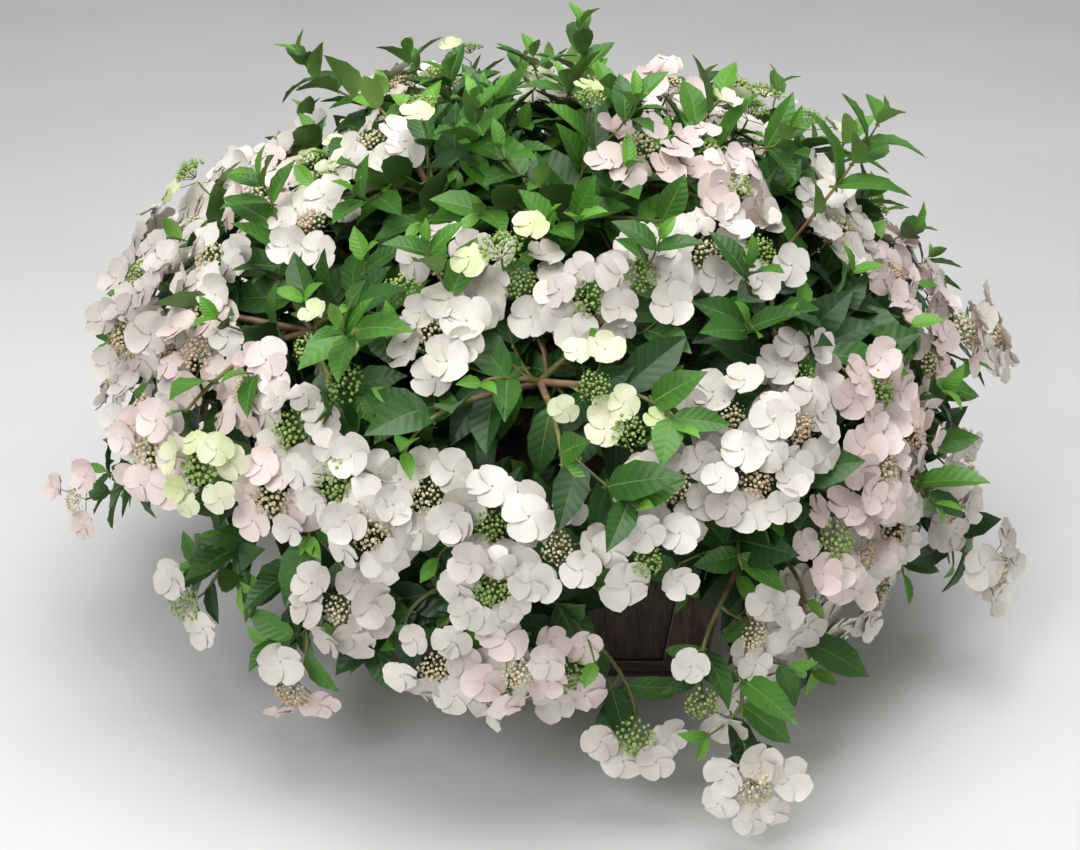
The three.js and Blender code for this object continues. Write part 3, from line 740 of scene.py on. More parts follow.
def in_own_space(mass, point, margin, may_cross):
    """Whether a point is nearer to its mass's middle than to any other's, and clear of every limb."""
    if not open_air(point, GROUND_CLEAR + margin, LIMB_CLEAR + margin, may_cross):
        return False
    for other in masses:
        if other is not mass:
            across = (other.middle - mass.middle).normalized()
            half = (other.middle + mass.middle) / 2
            if (point - half).dot(across) > -MASS_CLEAR - margin:
                return False
    room = CANE_RADII[0] + LIMB_CLEAR + margin
    return all((point - p).length > room for other in masses for p in other.cane[::3])


def spread(draw, size):
    """A drawn number, from minus size to size."""
    return (2 * draw() - 1) * size


def varied(draw, least, more):
    """A drawn number, the least or up to so much more."""
    return least + more * draw()


def jolt(draw, size):
    """A drawn step in any direction, inside a cube of this size."""
    return Vector((draw() - 0.5, draw() - 0.5, draw() - 0.5)) * size


def main_twigs(mass):
    """The stem and the twigs of the frame's own rule."""
    draw = seeded(mass.seed)
    heart = around(mass.bearing, *mass.ring.heart)
    stem_forward = (mass.cane[-1] - mass.cane[-2]).normalized()
    start = mass.cane[-1] + stem_forward * GAP
    bend = start + stem_forward * (0.45 * (heart - start).length)
    mass.stem = evenly(bezier([start, bend, heart]), 6)
    wanted = [(*twig, True) for twig in LONG_TWIGS.get(mass.name, [])]
    for turn, height, pitch in mass.ring.twigs:
        bearing = mass.bearing + turn
        height = max(height + spread(draw, 0.014), hem_at(bearing))
        bearing += spread(draw, 3)
        wanted.append((bearing, crown_radius(height) * (1 + spread(draw, 0.05)), height, pitch, False))
    twigs = []
    for bearing, radius, height, pitch, runs_out in wanted:
        forward = pointing(bearing, pitch)
        tip = around(bearing, radius, height) - forward * TIP_LEAF_REACH
        length = (tip - heart).length
        away = ((tip - heart).normalized() + stem_forward).normalized() * 0.35 * length
        curve = bezier([heart, heart + away, tip - forward * 0.35 * length, tip])
        for end in (1, 0.9, 0.8, 0.7, 0.6):
            checks = evenly(curve, 5, end)[2:]
            if all(in_own_space(mass, p, TWIG_RADII[0], runs_out) for p in checks):
                twigs.append(SimpleNamespace(path=evenly(curve, 14, end), runs_out=runs_out, mass=mass))
                break
    return twigs


class Nearby:
    """Points kept in cubes of space, to ask quickly what lies near a place."""

    def __init__(self, cube):
        self.cube = cube
        self.cubes = {}

    def key(self, point):
        return tuple(math.floor(c / self.cube) for c in point)

    def add(self, point, thing=None):
        self.cubes.setdefault(self.key(point), []).append((point.copy(), thing))

    def near(self, point):
        x, y, z = self.key(point)
        steps = (-1, 0, 1)
        cubes = ((x + i, y + j, z + k) for i in steps for j in steps for k in steps)
        return (kept for cube in cubes for kept in self.cubes.get(cube, ()))

    def within(self, point, reach):
        return any((p - point).length < reach for p, _ in self.near(point))


# Where the plant is in flower, by the tone of the sepals: bearing, height, reach and how thickly.
BLOOM = {
    "white": [
        (-160, 0.47, 0.06, 1.3), (-142, 0.515, 0.05, 0.9), (-36, 0.5, 0.055, 1.1), (-86, 0.505, 0.04, 1.1),
        (-106, 0.468, 0.03, 1.5), (-97, 0.458, 0.04, 1.5), (-80, 0.44, 0.04, 1.3), (-60, 0.42, 0.065, 1.1),
        (-50, 0.41, 0.055, 1.1), (-154, 0.455, 0.07, 1.3), (-120, 0.365, 0.06, 1.2), (-110, 0.345, 0.07, 1.2),
        (-101, 0.33, 0.07, 1.2), (-103, 0.265, 0.08, 1.0), (-95, 0.285, 0.055, 1.8), (-84, 0.335, 0.06, 3.0),
        (-70, 0.33, 0.035, 1.4), (-50, 0.18, 0.05, 1.6), (-34, 0.19, 0.08, 1.8), (-128, 0.375, 0.035, 1.4),
    ],
    "blush": [
        (-178, 0.5, 0.07, 1.0), (-144, 0.35, 0.05, 1.5), (-38, 0.565, 0.06, 1.8), (-58, 0.54, 0.05, 1.8),
        (-117, 0.49, 0.036, 1.5), (-62, 0.5, 0.035, 1.0), (-38, 0.395, 0.07, 1.2), (-8, 0.345, 0.09, 1.2),
        (-150, 0.36, 0.06, 1.5), (-85, 0.27, 0.06, 3.0), (-92, 0.205, 0.06, 1.2), (-46, 0.27, 0.07, 1.8),
    ],
    "lime": [
        (-172, 0.545, 0.05, 0.8), (-128, 0.53, 0.03, 0.7), (-84, 0.452, 0.05, 1.4), (-132, 0.36, 0.045, 1.3),
    ],
    # Heads in the shade tone: painted shade, a darker grey copy of white.
    "shade": [
        (-122, 0.552, 0.03, 0.9), (-164, 0.41, 0.08, 1.3), (-114, 0.27, 0.08, 0.9), (-60, 0.285, 0.028, 1.6),
        (-72, 0.39, 0.03, 1.4), (-30, 0.12, 0.06, 1.6), (-24, 0.25, 0.08, 1.4),
    ],
}
# Stretches with leaves alone: bearing, height and reach.
LEAFY = [
    (-108, 0.575, 0.055), (-98, 0.545, 0.045), (-78, 0.545, 0.04), (-95, 0.6, 0.05), (-70, 0.6, 0.045),
    (-128, 0.47, 0.042), (-119, 0.425, 0.056), (-108, 0.43, 0.045), (-66, 0.47, 0.045), (-70, 0.424, 0.038),
    (-28, 0.45, 0.07), (-82, 0.385, 0.042), (-134, 0.32, 0.035), (-58, 0.345, 0.03),
]
# A dark hollow where the shoots stand back.
HOLLOW = crown_at(-93, 0.396)
HOLLOW_REACH = 0.062
# How often a head grows outside those stretches: above a height, the share.
STRAY_HEADS = [(0.52, 0.10), (0.42, 0.16), (-1, 0.26)]


def flowering(point, draw):
    """Whether a head grows at a point, and its tone. The back flowers as the front does."""
    here = Vector((point.x, -abs(point.y), point.z))
    if any((here - crown_at(bearing, height)).length < reach for bearing, height, reach in LEAFY):
        return None
    best, tone = 0, None
    for patch_tone, patches in BLOOM.items():
        for bearing, height, reach, thickness in patches:
            away = (here - crown_at(bearing, height)).length
            strength = thickness * math.exp(-((away / reach) ** 2))
            if strength > best:
                best, tone = strength, patch_tone
    likely = next(share for height, share in STRAY_HEADS if point.z > height)
    chance, other = draw(), draw()
    if chance > max(best, likely):
        return None
    if best < 0.3 or other < 0.2:
        # Elsewhere the tone is drawn, and a share of it is the shade tone, painted shade.
        tone = "white" if other < 0.45 else "blush" if other < 0.7 else "shade" if other < 0.9 else "lime"
    return tone


def shoot_from(twigs, tip, forward):
    """A shoot's path to its tip from the place on a main twig that suits it best."""
    best = None
    for twig in twigs:
        for i in range(2, len(twig.path) - 2):
            node = twig.path[i]
            gap = tip - node
            ahead = (twig.path[i + 1] - node).normalized()
            cost = gap.length * (1.6 - gap.normalized().dot(ahead)) + 0.0015 * i
            if gap.length > 0.035 and (best is None or cost < best[0]):
                best = (cost, node, ahead)
    if best is None:
        return None
    _, start, ahead = best
    length = (tip - start).length
    leave = (ahead * 0.8 + (tip - start).normalized()).normalized()
    curve = bezier([start, start + leave * 0.33 * length, tip - forward * 0.36 * length, tip], 24)
    return evenly(curve, max(4, min(12, round(length / 0.022))))


# How often each kind of shoot is tried. The first tries at the surface are kept for those in flower,
# and a share of the leafy ones, greater high up, reach right out to it.
SPRIG_TRIES = 420
SHOOT_TRIES = 6000
FLOWERS_FIRST = 650
HIGH_UP = 0.5
REACH_OUT_HIGH = 0.24
REACH_OUT_LOW = 0.14
INNER_TRIES = 2000
# Tall sprigs stand well clear of the crown: bearing, radius and height.
TALL_SPRIGS = [(-16, 0.346, 0.606), (150, 0.300, 0.586)]
# A long twig that ends below a height trails. It bears shoots so many points back, each to its hand, and
# one low at the front bears heads too. Heads are sparse far to the left.
TRAILERS_BELOW = 0.4
TRAILER_SHOOTS = ((4, 1), (7, -1), (9, 1))
SIDE_SHOOT = (0.042, 0.024)
LOW_TRAILERS = (-0.35, 0.2)
# The first of these heads is in the shade tone, painted shade.
TRAILER_HEADS = ((3, 0.020, "shade"), (6, -0.024, "white"))
SPARSE_BEYOND = -0.2
# How far apart the tips of shoots and the middles of heads keep.
SPRIG_SPACING = 0.10
SPRIGS_FROM_HOLLOW = 0.12
FLOWER_SPACING = 0.049
LEAFY_SPACING = 0.050
INNER_SPACING = 0.055
HEAD_REACH = (0.020, 0.012)
HEAD_CLEAR = 0.016
HEAD_SPACING = 0.054
# Young heads stand between two heights, near the surface, and have fewer flowers, as sparse ones do.
YOUNG_HEADS = (0.38, 0.63)
YOUNG_HEAD_STALK = 0.023
YOUNG_HEAD_DEPTH = 0.07
YOUNG_HEAD_SPACING = 0.042
FEWER_ON_TRAILERS = 3
FEWER_ON_YOUNG = 5

twigs = [twig for mass in masses for twig in main_twigs(mass)]
shoots, heads = [], []
tips, head_places = Nearby(0.08), Nearby(0.08)
growth_draw = seeded(2024)


def add_shoot(path, main=False, sprig=False, flowers=False):
    shoots.append(SimpleNamespace(path=path, main=main, sprig=sprig, flowers=flowers))


def add_head(tip, forward, tone, draw, sparse=False):
    """A head in flower beyond a tip, turned to the light, if there is room for it."""
    sway = jolt(draw, 0.9)
    light = UP * 0.45 - Vector((0, max(0, 0.55 - 0.7 * tip.y), 0))
    facing = (crown_facing(tip) + light + forward * 0.25 + sway).normalized()
    centre = tip + (forward * 0.3 + facing).normalized() * varied(draw, *HEAD_REACH)
    if not clear(centre, HEAD_CLEAR, sparse) or head_places.within(centre, HEAD_SPACING):
        return False
    head_places.add(centre)
    fewer = FEWER_ON_TRAILERS if sparse else 0
    heads.append(SimpleNamespace(centre=centre, facing=facing, tone=tone, root=tip, fewer=fewer))
    return True


def add_fork(tip, forward, draw, tone=None, sprig=False):
    """A shoot that forks from the nearest mass's twigs, if it keeps off the planter."""
    mass = min(masses, key=lambda m: (m.middle - tip).length)
    path = shoot_from([twig for twig in twigs if twig.mass is mass], tip, forward)
    if path and all(off_planter(p, 0.001) for p in path[1:]):
        flowers = bool(tone) and add_head(tip, forward, tone, draw)
        tips.add(tip)
        add_shoot(path, sprig=sprig, flowers=flowers)


def grow_twigs(draw):
    """The main twigs. A trailer bears short leafy shoots to either side, and a low one heads too."""
    for twig in twigs:
        tip = twig.path[-1]
        forward = (tip - twig.path[-2]).normalized()
        aside = forward.cross(UP).normalized()
        tone = flowering(tip, draw)
        if twig.runs_out:
            tone = None if tip.z > TRAILERS_BELOW else "white" if draw() < 0.7 else "blush"
        sparse = twig.runs_out and (tip.x < SPARSE_BEYOND or in_window(tip))
        flowers = bool(tone) and add_head(tip, forward, tone, draw, sparse)
        if twig.runs_out and tip.z < TRAILERS_BELOW:
            for back, hand in TRAILER_SHOOTS:
                node = twig.path[-back]
                end = node + aside * hand * SIDE_SHOOT[0] + forward * SIDE_SHOOT[1]
                if clear(end, 0.012):
                    bend = node + forward * 0.015 + aside * hand * 0.012
                    add_shoot(evenly(bezier([node, bend, end]), 4), sprig=True)
        if twig.runs_out and tip.y < LOW_TRAILERS[0] and tip.z < LOW_TRAILERS[1]:
            for back, shift, side_tone in TRAILER_HEADS:
                add_head(twig.path[-back] + aside * shift, forward, side_tone, draw)
        tips.add(tip)
        add_shoot(twig.path, main=True, sprig=twig.runs_out, flowers=flowers)


def grow_sprigs(draw):
    """Leafy sprigs that stand out of the crown."""
    for _ in range(SPRIG_TRIES):
        turn, rise, stand, lean = 360 * draw(), draw(), draw(), draw()
        surface = on_crown(pointing(turn, 8 + 74 * rise))
        tip = surface + crown_facing(surface) * (0.006 + 0.032 * stand)
        forward = (crown_facing(surface) + UP * (0.5 + 0.9 * lean)).normalized()
        crowded = tips.within(tip, SPRIG_SPACING) or (surface - HOLLOW).length < SPRIGS_FROM_HOLLOW
        if clear(tip + forward * 0.02, 0) and not crowded:
            add_fork(tip, forward, draw, sprig=True)


def grow_shoots(draw):
    """The shoots at the surface, in flower or in leaf. A few of the leafy ones reach out to it."""
    for attempt in range(SHOOT_TRIES):
        turn, rise = 360 * draw(), draw()
        surface = on_crown(pointing(turn, math.asin(-0.5 + 1.5 * rise) / DEG))
        depth, lift, droop = draw(), draw(), draw()
        lowest = max(skirt_edge(turn), hem_at(turn) + 0.015)
        if (surface - HOLLOW).length < HOLLOW_REACH or surface.z < lowest:
            continue
        tone = flowering(surface, draw)
        if not tone and attempt < FLOWERS_FIRST:
            continue
        back = 0.040 + 0.030 * depth if tone else 0.034 + 0.040 * depth
        if not tone and lift < (REACH_OUT_HIGH if surface.z > HIGH_UP else REACH_OUT_LOW):
            back = 0.022 * depth
        tip = surface - crown_facing(surface) * back
        if clear(tip, 0.006) and not tips.within(tip, FLOWER_SPACING if tone else LEAFY_SPACING):
            add_fork(tip, tip_forward(surface, 0.5 * lift - 0.2 * droop), draw, tone)


def grow_inner_shoots(draw):
    """Leafy shoots deep in the crown."""
    for _ in range(INNER_TRIES):
        turn, rise, depth = 360 * draw(), draw(), draw()
        surface = on_crown(pointing(turn, math.asin(-0.3 + 1.3 * rise) / DEG))
        tip = surface - crown_facing(surface) * (0.10 + 0.07 * depth)
        if surface.z >= hem_at(turn) + 0.03 and clear(tip, 0.012) and not tips.within(tip, INNER_SPACING):
            add_fork(tip, tip_forward(surface, 0.2), draw)


def grow_young_heads():
    """Some leafy shoots end in a young head, of green buds with hardly a flower open round them."""
    for shoot in [s for s in shoots if not (s.main or s.sprig or s.flowers)][::4]:
        tip = shoot.path[-1]
        facing = (crown_facing(tip) + UP * 0.5).normalized()
        centre = tip + facing * YOUNG_HEAD_STALK
        between = YOUNG_HEADS[0] < centre.z < YOUNG_HEADS[1]
        shallow = (on_crown(crown_facing(tip)) - tip).length < YOUNG_HEAD_DEPTH
        crowded = head_places.within(centre, YOUNG_HEAD_SPACING)
        if between and shallow and clear(centre, 0.012) and not crowded:
            head_places.add(centre)
            young = SimpleNamespace(centre=centre, facing=facing, tone="lime", root=tip, fewer=FEWER_ON_YOUNG)
            heads.append(young)


grow_twigs(growth_draw)
grow_sprigs(growth_draw)
grow_shoots(growth_draw)
grow_inner_shoots(growth_draw)
for bearing, radius, height in TALL_SPRIGS:
    tip = around(bearing, radius, height)
    add_shoot(shoot_from(twigs, tip, (crown_facing(tip) + UP).normalized()), sprig=True)
grow_young_heads()


# Sterile flowers and leaves take one of a few shapes each, at a turn and a size of their own. A size
# is the least and how much more it can be.
FLOWER_KINDS = 6
FLOWERS_PER_HEAD = (5, 3.4)
FLOWER_REACH = (0.026, 0.012)
FLOWER_RISE = (-0.002, 0.014)
FLOWER_RADIUS = (0.0170, 0.0088)
FLOWER_LEAN = (0.1, 0.9)
FLOWER_CLEAR = 0.014
ODD_FLOWERS = 0.12
LIME_SIZE = 0.8
LEAF_KINDS = 4
LEAF_LENGTH = (0.86, 0.28)
LEAF_BREADTH = (0.9, 0.25)
SPRIG_LEAF_BREADTH = (0.8, 0.25)
BARE_FOOT = 0.12
BARE_FOOT_OF_TWIG = 0.22
# How far a leaf's middle and its tip keep off other things.
LEAF_CLEAR = (0.004, 0.002)
LEAF_FROM_HEAD = (0.022, 0.017)
LEAF_FROM_HOLLOW = (0.6 * HOLLOW_REACH, 0.8 * HOLLOW_REACH)
LEAF_SPACING = 0.011
DEEP_LEAF_SPACING = 0.017
DEEP = 0.1
# How far back from a shoot's tip each pair of leaves stands, and how long its leaves are.
LEAF_PAIRS = {
    "leafy": [(0.002, 0.03), (0.015, 0.052), (0.04, 0.067), (0.073, 0.074), (0.109, 0.077), (0.147, 0.078)],
    "sprig": [(0.002, 0.028), (0.013, 0.044), (0.033, 0.056), (0.058, 0.062), (0.086, 0.066), (0.118, 0.07)],
    "trailer": [(0.012, 0.046), (0.03, 0.056), (0.05, 0.063), (0.073, 0.068), (0.098, 0.072), (0.125, 0.074)],
    "flowering": [(0.012, 0.052), (0.042, 0.066), (0.076, 0.073), (0.112, 0.076), (0.15, 0.077)],
}
LEAF_STEP = 0.041
OLD_LEAF = 0.08


def axes_for(forward, facing):
    """The turn that points +Y forward and +Z the way that a leaf or flower faces."""
    y = forward.normalized()
    z = (facing - y * facing.dot(y)).normalized()
    return Matrix((y.cross(z), y, z)).transposed().to_quaternion()


def floret_list():
    """The sterile flowers round each head."""
    draw = seeded(77)
    florets = []
    for head in heads:
        count = int(varied(draw, *FLOWERS_PER_HEAD)) - head.fewer
        start = 2 * math.pi * draw()
        across = head.facing.orthogonal().normalized()
        other = head.facing.cross(across)
        for i in range(count):
            out = spoke(start + 2 * math.pi * (i + 0.5 * (draw() - 0.5)) / count, across, other)
            reach, rise = varied(draw, *FLOWER_REACH), varied(draw, *FLOWER_RISE)
            size, lean = varied(draw, *FLOWER_RADIUS), varied(draw, *FLOWER_LEAN)
            spin, tint = 2 * math.pi * draw(), draw()
            centre = head.centre + out * reach + head.facing * rise
            if not clear(centre, FLOWER_CLEAR, head.fewer == FEWER_ON_TRAILERS):
                continue
            aside = head.facing.cross(out) * (draw() - 0.5) * 0.8
            facing = (head.facing + out * lean + aside + UP * 0.1).normalized()
            forward = (spoke(spin, across, other) + facing * 0.01).normalized()
            floret = SimpleNamespace(root=centre, facing=facing, turn=axes_for(forward, facing), head=head)
            floret.tone = head.tone
            # A few white or blush flowers take the shade tone, painted shade, and a few take plain white.
            if head.tone in ("white", "blush") and tint < ODD_FLOWERS:
                floret.tone = "shade" if tint < ODD_FLOWERS / 2 else "white"
            size *= LIME_SIZE if floret.tone == "lime" else 1
            floret.size = (size, size, size)
            floret.kind = int(FLOWER_KINDS * draw())
            florets.append(floret)
    return florets


def place_on(path, travelled, goal):
    """A point at a distance along a path, with the stretch and the share of the stretch it lies at."""
    i = max(k for k in range(len(path) - 1) if travelled[k] <= goal)
    share = (goal - travelled[i]) / (travelled[i + 1] - travelled[i])
    return path[i].lerp(path[i + 1], share), i, share


def pairs_on(shoot, whole):
    """The pairs of leaves that a shoot bears. A main twig bears them far back along it too."""
    kind = "flowering" if shoot.flowers else "sprig" if shoot.sprig else "leafy"
    pairs = list(LEAF_PAIRS["trailer" if shoot.main and shoot.sprig else kind])
    while shoot.main and pairs[-1][0] + LEAF_STEP < 0.75 * whole:
        pairs.append((pairs[-1][0] + LEAF_STEP, OLD_LEAF))
    return pairs


def leaf_tone(height, depth, pair, shoot, tint):
    """Young leaves are brightest. The rest are partly random and partly painted light and shade: bright high
    up, near the surface and on sprigs; dark deep or low in the crown.
    """
    leafy_end = not shoot.flowers
    if pair == 0 and leafy_end:
        return "young"
    # Painted light and shade: the higher a leaf and the nearer the surface, the lighter its tone, with a
    # random share.
    lit = 0.45 * (height - 0.1) / 0.6 + 0.35 * (0.12 - depth) / 0.12 + 0.6 * (tint - 0.5)
    lit += 0.12 * (pair == 1 and leafy_end) + 0.10 * shoot.sprig
    return "bright" if lit > 0.60 else "mid" if lit > 0.27 else "dark"


def leaf_list(florets, draw):
    """The leaves of every shoot: in pairs, each pair turned across the last."""
    leaves, middles, head_middles, floret_places = [], Nearby(0.04), Nearby(0.05), Nearby(0.03)
    for floret in florets:
        floret_places.add(floret.root, floret)
    for head in heads:
        head_middles.add(head.centre)

    def cuts_floret(point):
        """Whether a point lies in the disc of a sterile flower."""
        for centre, floret in floret_places.near(point):
            gap = point - centre
            if gap.length < 1.1 * floret.size[0] and abs(gap.dot(floret.facing)) < 0.008:
                return True
        return False

    def has_room(node, forward, tilted, size, crosses, deep):
        """Whether a leaf keeps clear of planter, heads, flowers, hollow and the leaves before it. The
        place of one that does is marked as taken."""
        middle, end = node + forward * 0.55 * size, node + forward * size
        edge = forward.cross(tilted).normalized() * 0.2 * size
        spots = [node + forward * share * size for share in (0.35, 0.6, 0.85, 1.0)]
        free = (
            all(clear(p, margin, crosses) for p, margin in zip((middle, end), LEAF_CLEAR))
            and not any(head_middles.within(p, gap) for p, gap in zip((middle, end), LEAF_FROM_HEAD))
            and not any(cuts_floret(spot) for spot in spots + [middle + edge, middle - edge])
            and not middles.within(middle, DEEP_LEAF_SPACING if deep else LEAF_SPACING)
            and all((p - HOLLOW).length >= gap for p, gap in zip((middle, end), LEAF_FROM_HOLLOW))
        )
        if free:
            middles.add(middle)
        return free

    for shoot in shoots:
        travelled = lengths_of(shoot.path)
        whole = travelled[-1]
        quarter = draw() < 0.5
        for pair, (back, length) in enumerate(pairs_on(shoot, whole)):
            if whole - back < (BARE_FOOT_OF_TWIG if shoot.main else BARE_FOOT) * whole:
                break
            node, i, _ = place_on(shoot.path, travelled, whole - back)
            along = (shoot.path[i + 1] - shoot.path[i]).normalized()
            facing = (crown_facing(node) + UP * 0.5).normalized()
            side = along.cross(facing).normalized()
            if (pair % 2 == 0) == quarter:
                side = (side * 0.45 + along.cross(side) * 0.9).normalized()
            depth = (on_crown(crown_facing(node)) - node).length
            outward = 0.5 if pair == 0 and not shoot.flowers else 0.95
            crosses = shoot.main and shoot.sprig and pair < 2
            for hand in (-1, 1):
                ahead, lift = 0.62 + spread(draw, 0.25), 0.12 + spread(draw, 0.22)
                forward = side * hand * outward + along * ahead + facing * lift
                forward = (forward + UP * spread(draw, 0.12)).normalized()
                tilted = (facing + side * spread(draw, 0.45) + along * spread(draw, 0.2)).normalized()
                size = length * varied(draw, *LEAF_LENGTH)
                broad = varied(draw, *(SPRIG_LEAF_BREADTH if shoot.sprig else LEAF_BREADTH))
                leaf = SimpleNamespace(root=node, turn=axes_for(forward, tilted))
                leaf.size = (size * broad, size, size)
                leaf.kind = int(LEAF_KINDS * draw())
                leaf.tone = leaf_tone(node.z, depth, pair, shoot, draw())
                if has_room(node, forward, tilted, size, crosses, depth > DEEP):
                    leaves.append(leaf)
    return leaves


florets = floret_list()
leaves = leaf_list(florets, growth_draw)


# ==== Twigs ====
# The stems, main twigs and shoots: brown and woody inside the crown, and green for a hand's breadth
# behind each tip. A lacecap head stands on a thin green stalk, and each sterile flower on a finer one.

SHOOT_RADII = (0.0021, 0.0009)
TWIG_SIDES = 6
GREEN_TIP = 0.085
HEAD_STALK = 0.0011
HEAD_DEPTH = 0.009
SHORTEST_WOOD = 0.01
FOLIAGE = [f"foliage_{mass.name}" for mass in masses]


def named(tree, name, kind):
    """What the points or faces hold in an attribute."""
    return add(tree, "GeometryNodeInputNamedAttribute", {"Name": name}, "Attribute", data_type=kind)


def tubes_tree():
    """Round tapering tubes along the edges of a mesh."""
    inputs = {"Sides": "Int", "Finish": "Material"}
    tree, given, made = new_group("Geometry", "tubes", {**GEOMETRY, **inputs}, GEOMETRY)
    circle = {"Resolution": given["Sides"], "Radius": 1.0}
    wrapped = {
        "Curve": add(tree, "GeometryNodeMeshToCurve", {"Mesh": given["Geometry"]}),
        "Profile Curve": add(tree, "GeometryNodeCurvePrimitiveCircle", circle),
        "Scale": named(tree, "girth", "FLOAT"),
        "Fill Caps": True,
    }
    tube = add(tree, "GeometryNodeCurveToMesh", wrapped)
    smooth = add(tree, "GeometryNodeSetShadeSmooth", {0: tube})
    feed(made, {0: made_real(tree, smooth, given["Finish"])})
    return tree


TUBES = tubes_tree()


def note(mesh, name, kind, values, domain="POINT"):
    """Notes a value on each point or face of a mesh."""
    part = "vector" if kind == "FLOAT_VECTOR" else "value"
    mesh.attributes.new(name, kind, domain).data.foreach_set(part, values)


def tubes(name, lines, sides, finish, slot):
    """Many tubes as one piece. A line is its points and its radii at the two ends."""
    points, edges, girths = [], [], []
    for path, (root, tip) in lines:
        first, steps = len(points), len(path) - 1
        points += path
        edges += [(first + i, first + i + 1) for i in range(steps)]
        girths += [root + (tip - root) * i / steps for i in range(steps + 1)]
    mesh = bpy.data.meshes.new(name)
    mesh.from_pydata(points, edges, [])
    note(mesh, "girth", "FLOAT", girths)
    settle(grown(linked(name, mesh), name, TUBES, {"Sides": sides, "Finish": finish}), slot, *FOLIAGE)


def split_path(path, back):
    """A path cut in two at a distance back from its tip. A short one is all tip."""
    travelled = lengths_of(path)
    if travelled[-1] - back <= SHORTEST_WOOD:
        return [], path
    cut, i, share = place_on(path, travelled, travelled[-1] - back)
    inner = path[: i + 1] + ([cut] if share > 0.05 else [])
    return inner, [cut] + path[i + 1 :]


woody = [(mass.stem, (CANE_RADII[1], TWIG_RADII[0])) for mass in masses]
green = []
for shoot in shoots:
    root, tip = TWIG_RADII if shoot.main else SHOOT_RADII
    inner, outer = split_path(shoot.path, GREEN_TIP)
    between = tip + (root - tip) * (GREEN_TIP / max(lengths_of(shoot.path)[-1], GREEN_TIP))
    if len(inner) > 1:
        woody.append((inner, (root, between)))
    green.append((outer, (between, tip)))
for head in heads:
    top = head.centre - head.facing * HEAD_DEPTH
    bend = head.root.lerp(top, 0.5) + (head.root - top).orthogonal() * 0.06
    green.append((evenly(bezier([head.root, bend, top], 8), 4), (HEAD_STALK, HEAD_STALK)))
TWIG_WOOD = mottled("twig_wood", (0.15, 0.085, 0.045), (0.34, 0.21, 0.12), 60, 700, (0.65, 0.85), 0.0006)
TWIG_GREEN = mottled("twig_green", (0.10, 0.13, 0.035), (0.26, 0.24, 0.08), 50, 500, (0.45, 0.6))
tubes("twigs_woody", woody, TWIG_SIDES, TWIG_WOOD, "cane_bark")
tubes("twigs_green", green, TWIG_SIDES - 1, TWIG_GREEN, "foliage")


# ==== Leaves ====
# Pointed oval leaves in pairs, folded a little along a paler midrib, quilted between their side
# veins, finely toothed, and paler underneath. Each is one closed blade on a short stalk.

LEAF_STATIONS = (-0.10, 0.0, 0.07, 0.17, 0.28, 0.40, 0.52, 0.64, 0.76, 0.88)
LEAF_HALF_WIDTH = 0.245
LEAF_TEETH = 0.035
LEAF_QUILT = 0.007
LEAF_KEEL = 0.012
STALK_HALF_WIDTH = 0.018
STALK_KEEL = 0.03
VEIN_LEAD = 0.85
VEIN_PAIRS = 7.5
VEIN_STRENGTH = 0.27
# For each tone: the deep and fresh colours of the blade, and the pale of its veins and underside. Young is
# the real paler green of new leaves; bright, mid and dark are painted light and shade.
LEAF_TONES = {
    "dark": ((0.009, 0.038, 0.008), (0.022, 0.080, 0.015), (0.072, 0.155, 0.045)),
    "mid": ((0.020, 0.076, 0.010), (0.044, 0.148, 0.020), (0.125, 0.245, 0.060)),
    "bright": ((0.040, 0.142, 0.013), (0.080, 0.250, 0.026), (0.185, 0.350, 0.075)),
    "young": ((0.080, 0.250, 0.022), (0.155, 0.395, 0.042), (0.260, 0.490, 0.095)),
}
# For each shape of leaf: how far it folds up, how far its tip falls, and how far it twists, in radians.
LEAF_SHAPES = [(0.26, 0.16, 0.10), (0.40, 0.10, -0.16), (0.14, 0.26, 0.22), (0.30, 0.05, -0.05)]


def template(name, points, faces, pale, stock, creased=(), plan=()):
    """A small shape to plant many times over, in a stock of shapes that isn't itself shown. pale holds
    a mark for each face, creased the pairs of points with a sharp edge between, and plan a map."""
    mesh = bpy.data.meshes.new(name)
    mesh.from_pydata(points, [], faces)
    if plan:
        layer = mesh.uv_layers.new(name="blade")
        for corner, loop in zip(layer.data, mesh.loops):
            corner.uv = plan[loop.vertex_index]
    note(mesh, "pale", "BOOLEAN", pale, "FACE")
    mesh.shade_smooth()
    sharp = {frozenset(pair) for pair in creased}
    for edge in mesh.edges:
        edge.use_edge_sharp = frozenset(edge.vertices) in sharp
    stock.objects.link(bpy.data.objects.new(name, mesh))


